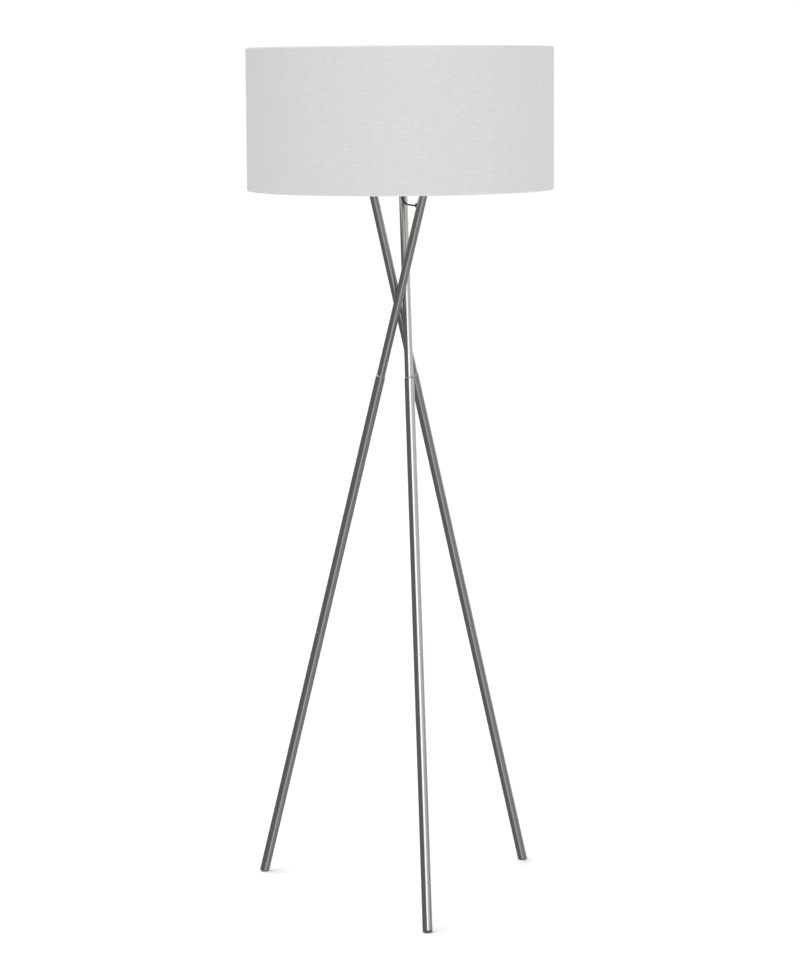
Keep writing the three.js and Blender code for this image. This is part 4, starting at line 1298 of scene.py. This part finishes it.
@dataclass(frozen=True)
class Studio:
    """A white floor, soft light from above, a tall soft box in front, and the camera."""

    floor_size: float = 60.0
    floor_white: float = 0.93
    camera_distance: float = 4.943
    camera_height: float = 1.4577
    camera_pitch: float = 6.5
    camera_roll: float = -0.35
    lens: float = 103.1
    shift: Corner = (-0.0018, -0.0956)
    overhead: float = 0.78
    dim: float = 0.23
    front_glow: float = 0.3
    front_peak: float = 0.12
    low_peak: float = 3.6
    right_fall: float = 0.14
    panel: float = 0.7
    rim: float = 0.75
    left_lift: float = 2.2
    backdrop: float = 1.05
    box_azimuth: float = -79.0
    box_distance: float = 4.9
    box_height: float = 2.25
    box_aim: float = 0.8
    box_size: Corner = (3.8, 2.9)
    box_power: float = 55.0

    def camera(self) -> None:
        """Sets up the camera that looks along +Y and a little down."""
        data = bpy.data.cameras.new("camera")
        data.lens, data.sensor_width, data.clip_end = self.lens, 36.0, 100.0
        data.shift_x, data.shift_y = self.shift
        made = bpy.data.objects.new("camera", data)
        place = Matrix.Translation((0.0, -self.camera_distance, self.camera_height))
        tilt = Matrix.Rotation(math.radians(90 - self.camera_pitch), 4, "X")
        made.matrix_world = place @ tilt @ about_z(self.camera_roll)
        bpy.context.scene.collection.objects.link(made)
        bpy.context.scene.camera = made

    def floor(self) -> None:
        """Lays the floor, which lights the lamp softly from below."""
        bm = bmesh.new()
        bmesh.ops.create_grid(bm, x_segments=1, y_segments=1, size=self.floor_size / 2)
        made = object_from(bm, "floor")
        material = bpy.data.materials.new("floor")
        material.use_nodes = True
        graph = Graph(material.node_tree)
        white = (self.floor_white, self.floor_white, self.floor_white, 1.0)
        graph.add("OutputMaterial", None, Surface=graph.add("BsdfDiffuse", None, Color=white).outputs[0])
        made.data.materials.append(material)
        made.visible_glossy = False

    def sky(self) -> None:
        """Lights the room: white behind the lamp, bright overhead and dim near the floor."""
        world = bpy.data.worlds.new("room")
        bpy.context.scene.world = world
        world.use_nodes = True
        graph = Graph(world.node_tree)
        ramp, times = graph.ramp, graph.times
        towards = graph.add("SeparateXYZ", None, Vector=graph.add("TexCoord").outputs["Generated"])
        side, depth, rise = towards.outputs
        around = graph.math("ARCTAN2", side, times(depth, -1.0))
        glow = ramp(around, -0.52, 0.05, 0.0, self.front_glow)
        peak = times(ramp(around, -0.1, 0.02), ramp(around, 0.15, 0.33, self.front_peak, 0.0))
        peak = times(peak, ramp(rise, -0.12, 0.1, self.low_peak, 1.0))
        fall = ramp(around, 0.2, 1.5, 0.0, -self.right_fall)
        panel = times(ramp(around, 0.65, 0.85), ramp(around, 1.8, 2.2, self.panel, 0.0))
        panel = times(panel, times(ramp(rise, -0.07, 0.2), ramp(rise, 0.4, 0.55, 1.0, 0.0)))
        rim = times(ramp(rise, -0.3, -0.06), ramp(rise, 0.3, 0.5, 1.0, 0.0))
        rim = times(ramp(around, 1.75, 2.25, 0.0, self.rim), rim)
        lift = times(ramp(rise, 0.5, 0.6), ramp(around, -0.9, -0.2, self.left_lift, 0.0))
        strength = ramp(rise, 0.5, 0.9, self.dim, self.dim + self.overhead)
        for part in (glow, peak, fall, panel, rim, lift):
            strength = graph.plus(strength, part)
        room = graph.add("Background", None, Strength=strength).outputs[0]
        white = graph.add("Background", None, Color=(1, 1, 1, 1), Strength=self.backdrop).outputs[0]
        seen = graph.add("LightPath").outputs["Is Camera Ray"]
        mixed = graph.add("MixShader", None, i0=seen, i1=room, i2=white)
        graph.add("OutputWorld", None, Surface=mixed.outputs[0])

    def soft_box(self) -> None:
        """Hangs the soft box in front, facing the lamp."""
        data = bpy.data.lights.new("front_box", "AREA")
        data.shape, data.energy = "RECTANGLE", self.box_power
        data.size, data.size_y = self.box_size
        made = bpy.data.objects.new("front_box", data)
        at = level(self.box_azimuth, self.box_distance, self.box_height)
        facing = (UP * self.box_aim - at).to_track_quat("-Z", "Y")
        made.matrix_world = Matrix.Translation(at) @ facing.to_matrix().to_4x4()
        made.visible_camera = False
        bpy.context.scene.collection.objects.link(made)

    def build(self) -> None:
        """Sets up the whole studio."""
        bpy.context.scene.view_settings.view_transform = "Standard"
        self.camera()
        self.floor()
        self.sky()
        self.soft_box()


def main() -> None:
    """Builds the lamp in its studio."""
    logging.basicConfig(level=logging.INFO, format="%(message)s")
    Studio().build()
    lines = (LegLine("left", 157.8, 0.012), LegLine("front", 277.95, 0.0098), LegLine("right", 37.8, 0.012))
    legs = {line.side: Leg(line) for line in lines}
    holder = Lampholder()
    spacers, wiring = WaistSpacers(legs), Wiring(legs["left"], holder)
    spacers.drill()
    wiring.drill()
    for leg in legs.values():
        leg.build()
    for part in (spacers, TopPlate(legs), holder, Bulb(), Shade(holder), wiring):
        part.build()
        log.info("%s is built", type(part).__name__)


if __name__ == "__main__":
    main()
